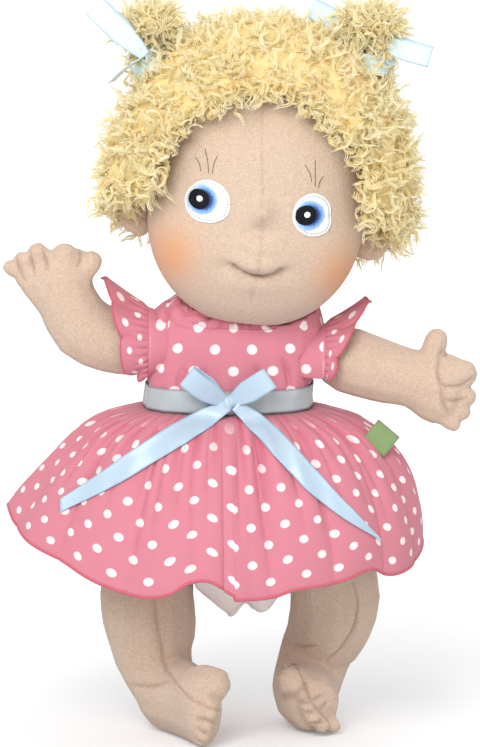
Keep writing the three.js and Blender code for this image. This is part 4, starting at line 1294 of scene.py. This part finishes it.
def collar_column(turn, dress_tree, head_tree):
    """Points up the slope of the shoulders to the head, at a turn round the neck."""
    column = []
    inner, outer = np.array(COLLAR["inner"]), np.array(COLLAR["outer"])
    for share in np.linspace(1, 0, 80):
        across, deep = inner + (outer - inner) * share
        x = COLLAR["centre"][0] + across * math.sin(turn)
        y = COLLAR["centre"][1] - deep * math.cos(turn)
        hit, normal, _, _ = dress_tree.ray_cast(Vector((x, y, ABOVE)) * MM, Vector((0, 0, -1)))
        if hit is None or hit.z < COLLAR["lowest"] * MM or (not column and normal.z < 0.3):
            continue
        if column and head_gap(hit, head_tree) < COLLAR["clear_of_head"] * MM:
            break
        lift = min(COLLAR["lift"], 0.35 * len(column) - 0.6)
        column.append(np.array(hit / MM) + np.array(normal) * lift)
    return np.array(column)


def make_collar(looks, dress_tree, head_tree):
    """The bodice's neck edge, gathered close under the chin."""
    rows, columns = COLLAR["mesh"]
    turns = np.linspace(0, 2 * math.pi, columns, endpoint=False)
    sides = [smooth_line(collar_column(turn, dress_tree, head_tree), rows) for turn in turns]
    points = np.stack(sides, axis=1)
    for _ in range(6):
        points += 0.25 * (np.roll(points, 1, axis=1) + np.roll(points, -1, axis=1) - 2 * points)
    drift = np.array([noise.noise(Vector((math.sin(turn), math.cos(turn), 0))) for turn in turns])
    gathers = np.sin(COLLAR["gathers"] * turns + 3 * drift)
    fade = np.linspace(0, 1, rows) ** 1.5
    points[..., 2] += COLLAR["gather_depth"] * gathers[None] * fade[:, None]
    # Painted shade in the valleys of the gathers, growing toward the neck edge
    values = {"line": (COLLAR["tint"] * np.clip(-gathers, 0, 1)[None] * fade[:, None]).ravel()}
    faces = grid_faces(rows, columns, closed=True)
    piece = make_piece("collar_cloth", points.reshape(-1, 3), faces, looks["dress"], values=values)
    thicken(piece, THICKNESS["cotton"])
    wrap_uv(piece)
    edge = np.vstack([points[-1], points[-1][:1]])
    rim = thread("collar_rim", [edge], COLLAR["rim"], looks["dress_seam"], None)
    for each in (piece, rim):
        hand_over(each, "dress", body="trunk")
    return piece, rim


WAIST = {"half_width": 34.7, "half_depth": 23.9, "lean": -5.35, "roundness": 2.5, "z": 142.0}
SKIRT = {
    "front": 66.0,
    "back": 65.0,
    "right": 99.0,
    "left": 78.0,
    "folds": 17,
    "fold_depth": 3.0,
    "puff": 0.28,
    "puff_reach": 0.07,
    "sway": 3.0,
    "fine_folds": 2.3,
    "fine_at": 0.28,
    "fine_reach": 0.3,
    "gathers": 46,
    "gather_depth": 1.6,
    "gather_reach": 0.24,
    "flat_waist": 165.0,
    "flat_width": 250.0,
    "flat_length": 86.0,
    "overlap": 3.0,
    "lap_lift": 2.0,
    "gap": 0.4,
    "gathered_reach": 0.1,
    "mesh": (61, 361),
}

# How thick the overlocked edges are
OVERLOCK = {"skirt": 0.8, "sleeve": 0.5, "armhole": 0.4}

# How round the skirt's fall is, and how high its hem lies, at turns from the front to the back on each side
FALL = {"right": [(0, 1.5), (90, 1.15), (180, 1.5)], "left": [(0, 1.5), (90, 2.3), (180, 1.5)]}
HEM = {
    "right": [
        (0, 72), (3, 75), (7, 78), (12, 76.5), (17, 71.5), (25, 70), (36, 74), (49, 81.5), (64, 88),
        (78, 94), (90, 99), (120, 95), (150, 87), (180, 84),
    ],
    "left": [
        (0, 70), (11, 70.5), (19, 73.5), (33, 75.5), (43, 79), (48, 79), (55, 75.5), (66, 76.5), (85, 81),
        (95, 85), (120, 88), (150, 86), (180, 84),
    ],
}


def waist_point(turn, lift):
    """The dress's waist at a turn from the front."""
    power = 2 / WAIST["roundness"]
    across, deep = (np.sign(part) * np.abs(part) ** power for part in (np.sin(turn), np.cos(turn)))
    x = WAIST["lean"] + (WAIST["half_width"] + lift) * across
    y = -(WAIST["half_depth"] + lift) * deep
    return np.array([x, y, WAIST["z"]])


FALL_LINES = {side: smooth_line(table, 200) for side, table in FALL.items()}
HEM_LINES = {side: smooth_line(table, 200) for side, table in HEM.items()}


def at_turn(lines, turn):
    """A value at a turn from the front, from lines that give it by side and degrees."""
    line = lines["left" if turn > 0 else "right"]
    return float(np.interp(abs(math.degrees(turn)), line[:, 0], line[:, 1]))


def hem_point(turn):
    """The skirt's hem at a turn from the front, without its folds."""
    sideways, forward = math.sin(turn), math.cos(turn)
    across = SKIRT["left"] if sideways > 0 else SKIRT["right"]
    deep = SKIRT["front"] if forward > 0 else SKIRT["back"]
    lean = WAIST["lean"] * 0.5
    x = lean + (across + (-lean if sideways > 0 else lean)) * sideways
    return np.array([x, -deep * forward, at_turn(HEM_LINES, turn)])


def sharp_wave(phase, power):
    """A wave with round crests and sharp valleys, from -1 to 1."""
    return 2 * abs(math.cos(phase / 2)) ** power - 1


def skirt_fold(turn, s):
    """How far the skirt's cloth stands out in its folds, and how deep in a crease it lies, from 0 to 1."""
    drift = noise.noise(Vector((turn * 2.6, s * 0.7, 5.0)))
    strength = 0.85 + 0.7 * noise.noise(Vector((turn * 1.9, 0.0, 3.0)))
    large = sharp_wave(SKIRT["folds"] * turn + 2.4 * drift, 0.6)
    fine = sharp_wave(SKIRT["fine_folds"] * SKIRT["folds"] * turn + 4.0 * drift + 1.3, 0.7)
    fine *= math.exp(-(((s - SKIRT["fine_at"]) / SKIRT["fine_reach"]) ** 2))
    pinch = noise.noise(Vector((turn * 6.0, 0.0, 2.0)))
    gather = math.cos(SKIRT["gathers"] * turn + 3 * pinch)
    near_waist = math.exp(-((s / SKIRT["gather_reach"]) ** 2))
    easing = 1.25 - s**1.5
    out = SKIRT["fold_depth"] * strength * (large * s**0.5 * easing + 0.5 * fine)
    out += SKIRT["sway"] * s**1.5 * drift
    out += SKIRT["gather_depth"] * gather * near_waist
    crease = 0.7 * max(0.0, -large) ** 2 * s**0.3 * (1.1 - s) + 0.5 * max(0.0, -fine) ** 2
    crease += 0.7 * max(0.0, -gather) * near_waist
    return out * min(1.0, s * 9), min(1.0, strength * crease)


def skirt_point(turn, s):
    """A point of the skirt, and its crease: turn from the front, and s from the waist, 0, to the hem, 1."""
    waist = waist_point(turn, 0.7)
    hem = hem_point(turn)
    puffed = 1 - math.exp(-s / SKIRT["puff_reach"])
    fallen = 1 - (1 - s) ** at_turn(FALL_LINES, turn)
    out = SKIRT["puff"] * puffed + (1 - SKIRT["puff"]) * fallen
    fold, crease = skirt_fold(turn, s)
    point = waist + (hem - waist) * np.array([out, out, s])
    point += np.array([math.sin(turn), -math.cos(turn), 0.0]) * fold
    return point, crease


def lift_with_leg(piece, side):
    """Gives a piece of cloth its own copy of its mesh."""
    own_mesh(piece)


def make_skirt_half(side, looks):
    """Half of the gathered skirt, from the front's middle round to the back's, with an overlocked hem."""
    sign = SIGN[side]
    gap = SKIRT["gap"] / SKIRT["front"]
    overlap = SKIRT["overlap"] / SKIRT["front"]
    start = -overlap if side == "left" else gap
    wide, long = SKIRT["flat_width"] * MM, SKIRT["flat_length"] * MM
    rows, columns = SKIRT["mesh"]
    points = []
    uv = []
    values = {"line": [], "gathered": []}
    for i in range(rows):
        s = i / (rows - 1)
        for j in range(columns):
            turn = start + (math.pi - gap - start) * j / (columns - 1)
            point, crease = skirt_point(turn * sign, s)
            lap = max(0.0, 1 - turn / (2 * overlap)) if side == "left" else 0.0
            point[1] -= SKIRT["lap_lift"] * min(1.0, lap) * min(1.0, s * 8)
            points.append(point)
            # The crease value is painted shade in the valleys of the folds and gathers
            values["line"].append(crease)
            values["gathered"].append(math.exp(-((s / SKIRT["gathered_reach"]) ** 2)))
            uv.append((sign * turn / math.pi * wide, -s * long))
    faces = grid_faces(rows, columns)
    piece = make_piece(f"skirt_cloth_{side}", points, faces, looks["dress"], None, uv, values)
    thicken(piece, THICKNESS["cotton"])
    hand_over(piece, "dress", f"skirt_{side}", body="trunk")
    hem_lines = [np.array(points[(rows - 1) * columns :])]
    edge = thread(f"skirt_hem_{side}", hem_lines, OVERLOCK["skirt"], looks["overlock"], "trunk")
    for each in (piece, edge):
        lift_with_leg(each, side)
    return piece


# Sleeves: where the armhole's seam lies, how far the flounce stands out and up at turns in degrees from the
# shoulder's top, how far round it goes, and the cloth that it is cut from
SLEEVES = {
    "right": {
        "seam": 39.5,
        "turns": [0, 20, 45, 90, 120, 145],
        "out": [19.0, 17.5, 14.0, 11.0, 9.5, 3.0],
        "flare": [13.5, 11.0, 6.0, 2.5, 3.0, 1.5],
        "sweep": 145.0,
        "cut": (0.120, 0.030),
        "cut_area": 0.0022,
    },
    "left": {
        "seam": 36.5,
        "turns": [0, 20, 45, 75, 100, 112],
        "out": [18.5, 16.0, 10.5, 6.0, 2.5, 1.0],
        "flare": [10.5, 8.5, 5.0, 3.0, 2.0, 0.6],
        "sweep": 112.0,
        "cut": (0.085, 0.027),
        "cut_area": 0.0014,
    },
}
ARMHOLE = {"inner": 14.0, "seam": 15.4, "sunk": 0.9}
FLOUNCE = {
    "gathers": 31,
    "gather_depth": 0.9,
    "ripples": 7,
    "ripple_depth": 1.9,
    "slant": 1.2,
    "yoke": 0.22,
    "print_radius": 25,
    "print_length": 30,
    "mesh": (37, 181),
}

# How far to the side the rays that look in at the bodice start
OUTSIDE = 100

# Two distances from the middle along the arm, which make_sleeve turns into points that it leaves unused
FOLLOW = (38, 62)

# Ridges and a hollow of the flounce over the shoulder: turn and width in degrees, and height
RIDGES = [(-17, 8, 2.2), (-3, 7, -0.8), (8, 7, 0.4)]


def sleeve_point(side, pivot, tree, turn, v):
    """A point of a sleeve, and its crease: turn from the shoulder's top forwards, v from bodice to hem."""
    facts = SLEEVES[side]
    sign = SIGN[side]
    degrees = math.degrees(turn)
    ring = np.array([0.0, -math.sin(turn), math.cos(turn)])
    start = pivot + ring * ARMHOLE["inner"]
    hit = tree.ray_cast(Vector((sign * OUTSIDE, start[1], start[2])) * MM, Vector((-sign, 0, 0)))[0]
    root_x = hit.x / MM - sign * ARMHOLE["sunk"]
    seam_x = sign * max(facts["seam"], abs(root_x) + 1.0)
    if v < FLOUNCE["yoke"]:
        share = v / FLOUNCE["yoke"]
        radius = ARMHOLE["inner"] + (ARMHOLE["seam"] - ARMHOLE["inner"]) * math.sin(share * math.pi / 2)
        point = pivot + ring * radius
        point[0] = root_x + (seam_x - root_x) * share
        return point, 0.0
    share = (v - FLOUNCE["yoke"]) / (1 - FLOUNCE["yoke"])
    out = np.interp(abs(degrees), facts["turns"], facts["out"])
    flare = np.interp(abs(degrees), facts["turns"], facts["flare"])
    flare += sum(height * math.exp(-(((degrees - at) / wide) ** 2)) for at, wide, height in RIDGES)
    wander = noise.noise(Vector((turn * 1.6, share * 0.8, 4.0 + sign)))
    ripple = FLOUNCE["ripple_depth"] * share**0.9 * sharp_wave(FLOUNCE["ripples"] * turn + 2.5 * wander, 0.8)
    pleat = sharp_wave(FLOUNCE["gathers"] * turn + 3 * wander, 0.8)
    near_seam = math.exp(-((share / 0.4) ** 2))
    gather = FLOUNCE["gather_depth"] * pleat * near_seam * min(1.0, share * 8)
    rippled = ripple * min(1.0, abs(degrees) / 20)
    radius = ARMHOLE["seam"] + flare * share**1.1 + rippled + gather + wander * share
    point = pivot + ring * radius
    point[0] = seam_x + sign * (out * share + FLOUNCE["slant"] * ripple * share * 0.5)
    valley = max(0.0, -ripple / FLOUNCE["ripple_depth"])
    return point, min(1.0, 0.8 * max(0.0, -pleat) * near_seam + 0.25 * valley)


def make_sleeve(side, looks, bodice_tree):
    """A flutter sleeve: a smooth yoke from the bodice to the armhole seam, and a gathered flounce."""
    facts = SLEEVES[side]
    pivot = np.array(joint_facts(f"shoulder_{side}")[0]) / MM
    pivot[0] = 0.0
    sweep = math.radians(facts["sweep"])
    rows, columns = FLOUNCE["mesh"]
    places = [(turn, v) for v in np.linspace(0, 1, rows) for turn in np.linspace(-sweep, sweep, columns)]
    made = [sleeve_point(side, pivot, bodice_tree, turn, v) for turn, v in places]
    points = np.array([point for point, _ in made])
    creases = [crease for _, crease in made]
    uv = np.array(places) * (FLOUNCE["print_radius"] * MM, FLOUNCE["print_length"] * MM)
    seam_row = round(FLOUNCE["yoke"] * (rows - 1))
    yoke = slice(0, seam_row * columns)
    uv[yoke] = (points[yoke][:, [0, 2]] - [WRAP["middle"], 0.0]) * MM
    faces = grid_faces(rows, columns)
    # The creases are painted shade in the flounce's pleats and ripples
    piece = make_piece(f"sleeve_cloth_{side}", points, faces, looks["dress"], None, uv, {"line": creases})
    thicken(piece, THICKNESS["cotton"])
    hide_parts(f"sleeve_{side}")
    grid = points.reshape(rows, columns, 3)
    hem = thread(f"sleeve_hem_{side}", [grid[-1]], OVERLOCK["sleeve"], looks["overlock"], None)
    seam = thread(f"armhole_seam_{side}", [grid[seam_row]], OVERLOCK["armhole"], looks["overlock"], None)
    start, end = ((SIGN[side] * x * MM, pivot[1] * MM, pivot[2] * MM) for x in FOLLOW)
    for each in (piece, hem, seam):
        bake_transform(each)
        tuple(start)
        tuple(end)


# The two loose leg edges hang lowest, with the cloth drawn up between them: place across, reach and drop
UNDERPANTS_LOBES = [(-6.0, 6.5, 5.0), (10.5, 6.5, 6.0), (2.0, 3.0, -3.0)]

# The height below which the cloth is drawn, and how far down it is drawn fully
LEG_EDGE = {"top": 70, "reach": 14}


def make_underpants(looks):
    """Plain cotton underpants, which show below the hem between the legs."""
    piece = fitted("underpants_cloth", "underpants", UNDERPANTS, looks["underwear"])
    push_out(piece, lambda place: 0.6 + 0.5 * noise.noise(place * 0.16))
    for vert in piece.data.vertices:
        low = max(0.0, (LEG_EDGE["top"] * MM - vert.co.z) / (LEG_EDGE["reach"] * MM))
        for x, reach, drop in UNDERPANTS_LOBES:
            vert.co.z -= drop * MM * low * math.exp(-(((vert.co.x / MM - x) / reach) ** 2))
    hand_over(piece, "underwear", "underpants", body="trunk")
    declare_fitted(piece, UNDERPANTS)


# Sash and small parts

SASH = {
    "bottom": 142.8,
    "top": 152.6,
    "width": 10.0,
    "lowest_hold": 145.0,
    "length": 222.0,
    "tail_length": 85.0,
    "lift": 0.8,
    "crimp": 0.4,
    "columns": 160,
    "step": 1.4,
}
# Each tail's line as the photograph shows it, its width along it as a share, and its slanted end in pixels
TAILS = {
    "right": {
        "line": [(228, 405), (200, 421), (168, 440), (138, 459), (110, 477), (84, 492), (62, 504)],
        "widths": [(0, 0.5), (0.12, 0.85), (0.3, 1.0), (0.6, 0.92), (1.0, 0.5)],
        "slant": -6.0,
    },
    "left": {
        "line": [(236, 405), (262, 427), (286, 452), (310, 478), (334, 501), (357, 520), (379, 537)],
        "widths": [(0, 0.5), (0.12, 0.8), (0.3, 0.92), (0.55, 0.9), (0.8, 0.55), (1.0, 0.06)],
        "slant": 6.0,
    },
}


def make_sash(looks, dress_tree, skirt_tree):
    """The ribbon round the waist, with its knot, two loops and two tails."""
    columns = SASH["columns"]
    heights = np.linspace(SASH["bottom"], SASH["top"], len(RIBBON_PARTS))
    points = []
    uv = []
    for j in range(columns):
        turn = 2 * math.pi * j / columns
        way = Vector((math.sin(turn), -math.cos(turn), 0))
        for v, z in enumerate(heights):
            start = Vector((WAIST["lean"], 0, max(z, SASH["lowest_hold"]))) * MM + way * 0.2
            hit = dress_tree.ray_cast(start, -way)[0].copy()
            hit.z = z * MM
            wrinkle = math.sin(turn * 13 + v * 0.4) * noise.noise(Vector((turn * 2, v * 0.2, 1.0)))
            points.append(np.array(hit / MM) + np.array(way) * (SASH["lift"] + SASH["crimp"] * wrinkle))
            uv.append((j * SASH["step"] * MM, v / (len(heights) - 1)))
    faces = [[index % len(points) for index in face] for face in grid_faces(columns + 1, len(heights))]
    # The band takes the greyer copy of the tails' satin: painted shade
    band = make_piece("sash_ribbon", points, faces, looks["shaded_sash_satin"], None, uv)
    thicken(band, THICKNESS["ribbon"])
    hand_over(band, "satin", "sash_band", body="trunk")
    knot_front = min(point[1] for point in np.array(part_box("sash_knot"))) / MM
    make_bow(looks)
    for side in TAILS:
        make_tail(side, looks, skirt_tree, knot_front)


# The knot's half sizes and its pleats; the ways that the sash's loops point, and their reach, belly and root
KNOT = {"across": 3.3, "deep": 2.8, "tall": 3.9, "pleats": 5, "pleat_share": 0.07}
BOW_LOOPS = {"right": (-0.80, -0.30, 0.62), "left": (0.82, -0.30, 0.57)}
BOW = {"reach": 21.0, "belly": 3.6, "root": (1.5, -0.5, 1.0)}


def make_knot(middle, looks):
    """The sash's knot: a ribbon drawn tight over itself, with its pleats."""
    rows, columns = 33, 48
    points = []
    uv = []
    for tall in np.linspace(0.04, math.pi - 0.04, rows):
        for j in range(columns):
            turn = 2 * math.pi * j / columns
            crest = math.cos(KNOT["pleats"] * turn + 2.0 * math.cos(tall)) * math.sin(tall)
            pleat = 1 + KNOT["pleat_share"] * crest
            x = KNOT["across"] * math.sin(tall) * math.sin(turn)
            y = -KNOT["deep"] * math.sin(tall) * math.cos(turn)
            points.append(middle + np.array([x, y, KNOT["tall"] * math.cos(tall)]) * pleat)
            uv.append((tall * KNOT["tall"] * MM, 0.5 + 0.35 * math.sin(turn)))
    faces = capped_faces(rows, columns)
    piece = make_piece("sash_knot_ribbon", points, faces, looks["satin"], "trunk", uv)
    hand_over(piece, "satin", "sash_knot")
    return piece


def make_bow(looks):
    """The sash's knot and its two loops."""
    middle = middle_of("sash_knot")
    knot = make_knot(middle, looks)
    width, reach = SASH["width"], BOW["reach"]
    for side, out in BOW_LOOPS.items():
        root = middle + np.array(BOW["root"]) * (SIGN[side], 1, 1)
        across = (-out[2], 0.15, out[0])
        name = f"sash_bow_loop_{side}"
        loop = loop_of_ribbon(name, root, out, across, reach, BOW["belly"], width, looks["satin"], "trunk")
        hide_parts(f"sash_loop_{side}")


# How far a tail begins behind the knot's front, and how far it lies off the skirt
TAIL_DROP = {"under_knot": 1.0, "off_skirt": 1.1}


def make_tail(side, looks, skirt_tree, knot_front):
    """A tail of the sash: it hangs from the knot to the skirt, lies on it, and ends in a slanted cut."""
    facts = TAILS[side]
    rows, columns = 60, len(RIBBON_PARTS)
    centre = smooth_line(facts["line"], rows)
    along = unit(np.gradient(centre, axis=0))
    beside = np.stack([-along[:, 1], along[:, 0]], axis=1)
    shares = np.linspace(0, 1, rows)
    table = np.array(facts["widths"])
    widths = np.interp(shares, table[:, 0], table[:, 1]) * SASH["width"] * VIEW["pixels_per_mm"]
    late = np.clip((shares - 0.8) / 0.2, 0, 1) * facts["slant"]
    look = np.array(LOOK)
    points = np.zeros((rows, columns, 3))
    depths = np.full((rows, columns), np.nan)
    for k in range(rows):
        for n, part in enumerate(RIBBON_PARTS):
            start, way = sight(centre[k] + beside[k] * part * widths[k] + along[k] * late[k] * part)
            hit = skirt_tree.ray_cast(start, way)[0]
            points[k, n] = np.array(start) / MM
            depths[k, n] = (hit - start).length / MM if hit else depths[k - 1, n]
    knot_depth = (knot_front - points[0, 0, 1]) / look[1]
    hang = np.clip(1 - shares / 0.3, 0, 1)[:, None] ** 1.5
    for _ in range(30):
        inside = np.pad(depths, 1, mode="edge")
        spread = (inside[:-2, 1:-1] + inside[2:, 1:-1] + inside[1:-1, :-2] + inside[1:-1, 2:]) / 4
        depths = np.minimum(depths, 0.5 * depths + 0.5 * spread)
    hung = depths * (1 - hang) + (knot_depth + TAIL_DROP["under_knot"]) * hang
    points += look * (np.minimum(depths, hung) - TAIL_DROP["off_skirt"])[..., None]
    piece = ribbon_sheet(f"sash_tail_ribbon_{side}", points, looks["satin"], "trunk")
    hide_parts(f"sash_tail_{side}")
    lift_with_leg(piece, side)


# The label: its place in the photograph, half its side, its rows of points, and its stand off the skirt
LABEL = {"place": (378, 440), "half": 6.0, "rows": 25, "lift": 3.0, "fold": 0.5}


def make_label(looks, skirt_tree):
    """The folded ribbon label on the skirt's left side, bare."""
    spot, cloth, _, _ = skirt_tree.ray_cast(*sight(LABEL["place"]))
    normal = unit(np.array(cloth) - 1.2 * np.array(LOOK))
    centre = np.array(spot) / MM + LABEL["lift"] * normal
    flat = unit(np.cross(normal, [0, 0, 1.0]))
    rise = np.cross(flat, normal)
    across = (flat + rise) / math.sqrt(2)
    up = (rise - flat) / math.sqrt(2)
    half = LABEL["half"]
    middles = []
    for share in np.linspace(-1, 1, LABEL["rows"]):
        apart = LABEL["fold"] * min(1.0, 4 * abs(share))
        middles.append(centre + up * half * (1 - 2 * abs(share)) + normal * math.copysign(apart, share))
    kind = {"slot": "label", "thickness": THICKNESS["label"]}
    piece = ribbon("label_ribbon", middles, across, 2 * half, looks["label"], "trunk", **kind)
    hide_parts("side_label")
    lift_with_leg(piece, "left")


# The pieces of the back opening, each with its CAD node and its cloth
BACK_CLOSING = [("closure_strip", "closure_tape", "tape"), ("placket_strip", "back_placket", "dress")]


def make_back_closing(looks):
    """The back opening: a strip of hook-and-loop tape under a placket of the dress's cotton."""
    pieces = []
    columns, rows = 13, 21
    for name, node, slot in BACK_CLOSING:
        tree = surface_of(frame["nodes"][node])
        low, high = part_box(node)
        points = []
        uv = []
        for z in np.linspace(low.z + 0.2 * MM, high.z - 0.2 * MM, rows):
            for x in np.linspace(low.x + 0.1 * MM, high.x - 0.1 * MM, columns):
                hit = tree.ray_cast(Vector((x, 0.2, z)), Vector((0, -1, 0)))[0]
                points.append(np.array(hit) / MM + np.array([0, -THICKNESS["tape"] / 2, 0]))
                uv.append((x, z))
        piece = make_piece(name, points, grid_faces(rows, columns), looks[slot], None, uv)
        thicken(piece, THICKNESS["tape"])
        hand_over(piece, slot, node, body="trunk")
        pieces.append(piece)
    return pieces


# Studio


# Each lamp's power in watts, and its size and place in metres
LAMPS = {
    "key": (17.0, 0.8, (-0.35, -1.3, 1.05)),
    "fill": (2.6, 1.0, (0.6, -1.2, 0.1)),
    "back": (2.5, 0.9, (0.2, 1.1, 1.2)),
}
LAMP_TARGET = (0, 0, 0.15)
WORLD_LIGHT = 0.8

# How far the floor reaches each way from the doll, in millimetres
FLOOR_REACH = 4000.0


def add_lamp(name, energy, size, place):
    """A square soft lamp that faces the doll."""
    data = bpy.data.lights.new(name, "AREA")
    data.energy = energy
    data.shape = "SQUARE"
    data.size = size
    lamp = bpy.data.objects.new(name, data)
    bpy.context.scene.collection.objects.link(lamp)
    lamp.location = place
    lamp.rotation_mode = "QUATERNION"
    lamp.rotation_quaternion = (Vector(LAMP_TARGET) - Vector(place)).to_track_quat("-Z", "Y")


def add_camera(scene):
    """A camera with the photograph's view."""
    camera = bpy.data.cameras.new("camera")
    camera.sensor_fit = "AUTO"
    camera.sensor_width = 36.0
    frame_height = VIEW["height"] / VIEW["pixels_per_mm"] * MM
    camera.lens = camera.sensor_width * VIEW["distance"] / frame_height
    camera.clip_end = 50.0
    holder = bpy.data.objects.new("camera", camera)
    scene.collection.objects.link(holder)
    across = (VIEW["width"] / 2 - VIEW["origin"][0]) / VIEW["pixels_per_mm"] * MM
    up = (VIEW["origin"][1] - VIEW["height"] / 2) / VIEW["pixels_per_mm"] * MM
    holder.location = ACROSS * across + UPWARD * up - LOOK * VIEW["distance"]
    holder.rotation_mode = "QUATERNION"
    holder.rotation_quaternion = LOOK.to_track_quat("-Z", "Y")
    scene.camera = holder


def make_studio():
    """Camera, world, lamps and floor."""
    scene = bpy.context.scene
    scene.view_settings.view_transform = "Standard"
    add_camera(scene)
    world = bpy.data.worlds.new("studio")
    scene.world = world
    world.use_nodes = True
    tree = world.node_tree
    tree.nodes.clear()
    white = (1, 1, 1, 1)
    light = add_node(tree, "ShaderNodeBackground", {"Color": white, "Strength": WORLD_LIGHT})
    shown = add_node(tree, "ShaderNodeBackground", {"Color": white, "Strength": 1.0})
    rays = add_node(tree, "ShaderNodeLightPath")
    bright = maths(tree, "MAXIMUM", rays.outputs["Is Camera Ray"], rays.outputs["Is Glossy Ray"])
    mixed = add_node(tree, "ShaderNodeMixShader", {0: bright, 1: light.outputs[0], 2: shown.outputs[0]})
    add_node(tree, "ShaderNodeOutputWorld", {"Surface": mixed.outputs[0]})
    for name, facts in LAMPS.items():
        add_lamp(name, *facts)
    corners = [(x * FLOOR_REACH, y * FLOOR_REACH, 0) for x, y in ((-1, -1), (1, -1), (1, 1), (-1, 1))]
    make_piece("floor", corners, [(0, 1, 2, 3)], floor_material())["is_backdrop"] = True


# Satins: the ribbon's colour and its edge's. The sash's band is a greyer, darker copy of the satin of its
# tails: painted shade.
SATINS = {
    "satin": ((0.68, 0.765, 0.83), (0.64, 0.74, 0.82)),
    "hair_satin": ((0.83, 0.90, 0.93), (0.75, 0.84, 0.89)),
    "shaded_sash_satin": ((0.66, 0.695, 0.705), (0.57, 0.61, 0.635)),
}

# Threads and plain cloths: colour, cells of the weave in a metre, and where it isn't the usual, sheen and
# roughness
PLAIN_CLOTHS = {
    "seam": ((0.80, 0.66, 0.56), 1500),
    "felt": ((0.97, 0.97, 0.96), 2500),
    "pupil": ((0.03, 0.035, 0.06), 3000, 0.05, 0.6),
    "glint": ((0.99, 0.99, 0.99), 3000),
    "navy_thread": ((0.22, 0.24, 0.50), 3000),
    "dark_thread": ((0.38, 0.27, 0.22), 3000),
    "dress_seam": ((0.86, 0.49, 0.55), 1800),
    "overlock": ((0.80, 0.40, 0.46), 1600),
    "underwear": ((0.97, 0.92, 0.91), 1600),
    "label": ((0.54, 0.64, 0.44), 1400, 0.3),
    "tape": ((0.95, 0.90, 0.91), 2200),
}


def make_looks():
    """Every material of the doll, by name."""
    made = {
        "fleece": fleece_material("skin_fleece", srgb(0.865, 0.77, 0.69), srgb(0.79, 0.675, 0.59)),
        "head": fleece_material("head_fleece", srgb(0.87, 0.78, 0.70), srgb(0.80, 0.69, 0.60)),
        "iris": iris_material(),
        "hair": hair_material(),
        "hair_depths": wig_base_material(),
        "dress": dotted_material("dotted_cotton", srgb(0.81, 0.50, 0.555)),
    }
    for name, (colour, edge) in SATINS.items():
        made[name] = satin_material(f"{name}_ribbon", srgb(*colour), srgb(*edge))
    for name, (colour, cells, *finish) in PLAIN_CLOTHS.items():
        made[name] = plain_cloth_material(f"{name}_cloth", srgb(*colour), cells, *finish)
    return made


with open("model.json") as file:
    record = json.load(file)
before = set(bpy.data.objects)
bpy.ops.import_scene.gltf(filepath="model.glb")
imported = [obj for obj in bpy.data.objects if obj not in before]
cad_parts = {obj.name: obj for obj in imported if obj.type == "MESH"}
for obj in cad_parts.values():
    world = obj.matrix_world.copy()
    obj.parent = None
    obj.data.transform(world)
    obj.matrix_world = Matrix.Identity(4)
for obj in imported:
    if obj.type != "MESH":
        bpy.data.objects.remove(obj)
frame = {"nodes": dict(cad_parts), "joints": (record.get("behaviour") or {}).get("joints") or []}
cad_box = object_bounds()
make_studio()
looks = make_looks()

head_tree = surface_of(make_head(looks["head"]))
for side in SIGN:
    make_eye(side, head_tree, looks)
    make_ear(side, looks)
    make_hair_bow(side, looks)
make_wig(head_tree, looks)
trunk = make_trunk(looks)
for limb in LIMBS:
    make_limb(limb, looks)
make_underpants(looks)
bodice = make_bodice(looks)
bodice_tree = surface_of(bodice)
dress_details = [*make_collar(looks, surface_of(trunk, bodice), head_tree), *make_back_closing(looks)]
declare_fitted(bodice, BODICE, with_pieces=dress_details)
skirts = []
for side in SIGN:
    skirts.append(make_skirt_half(side, looks))
    make_sleeve(side, looks, bodice_tree)
make_sash(looks, bodice_tree, surface_of(bodice, *skirts))
make_label(looks, surface_of(*skirts))

boxes = {"cad": cad_box, "visual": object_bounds()}
{key: [list(corner) for corner in box] for key, box in boxes.items()}
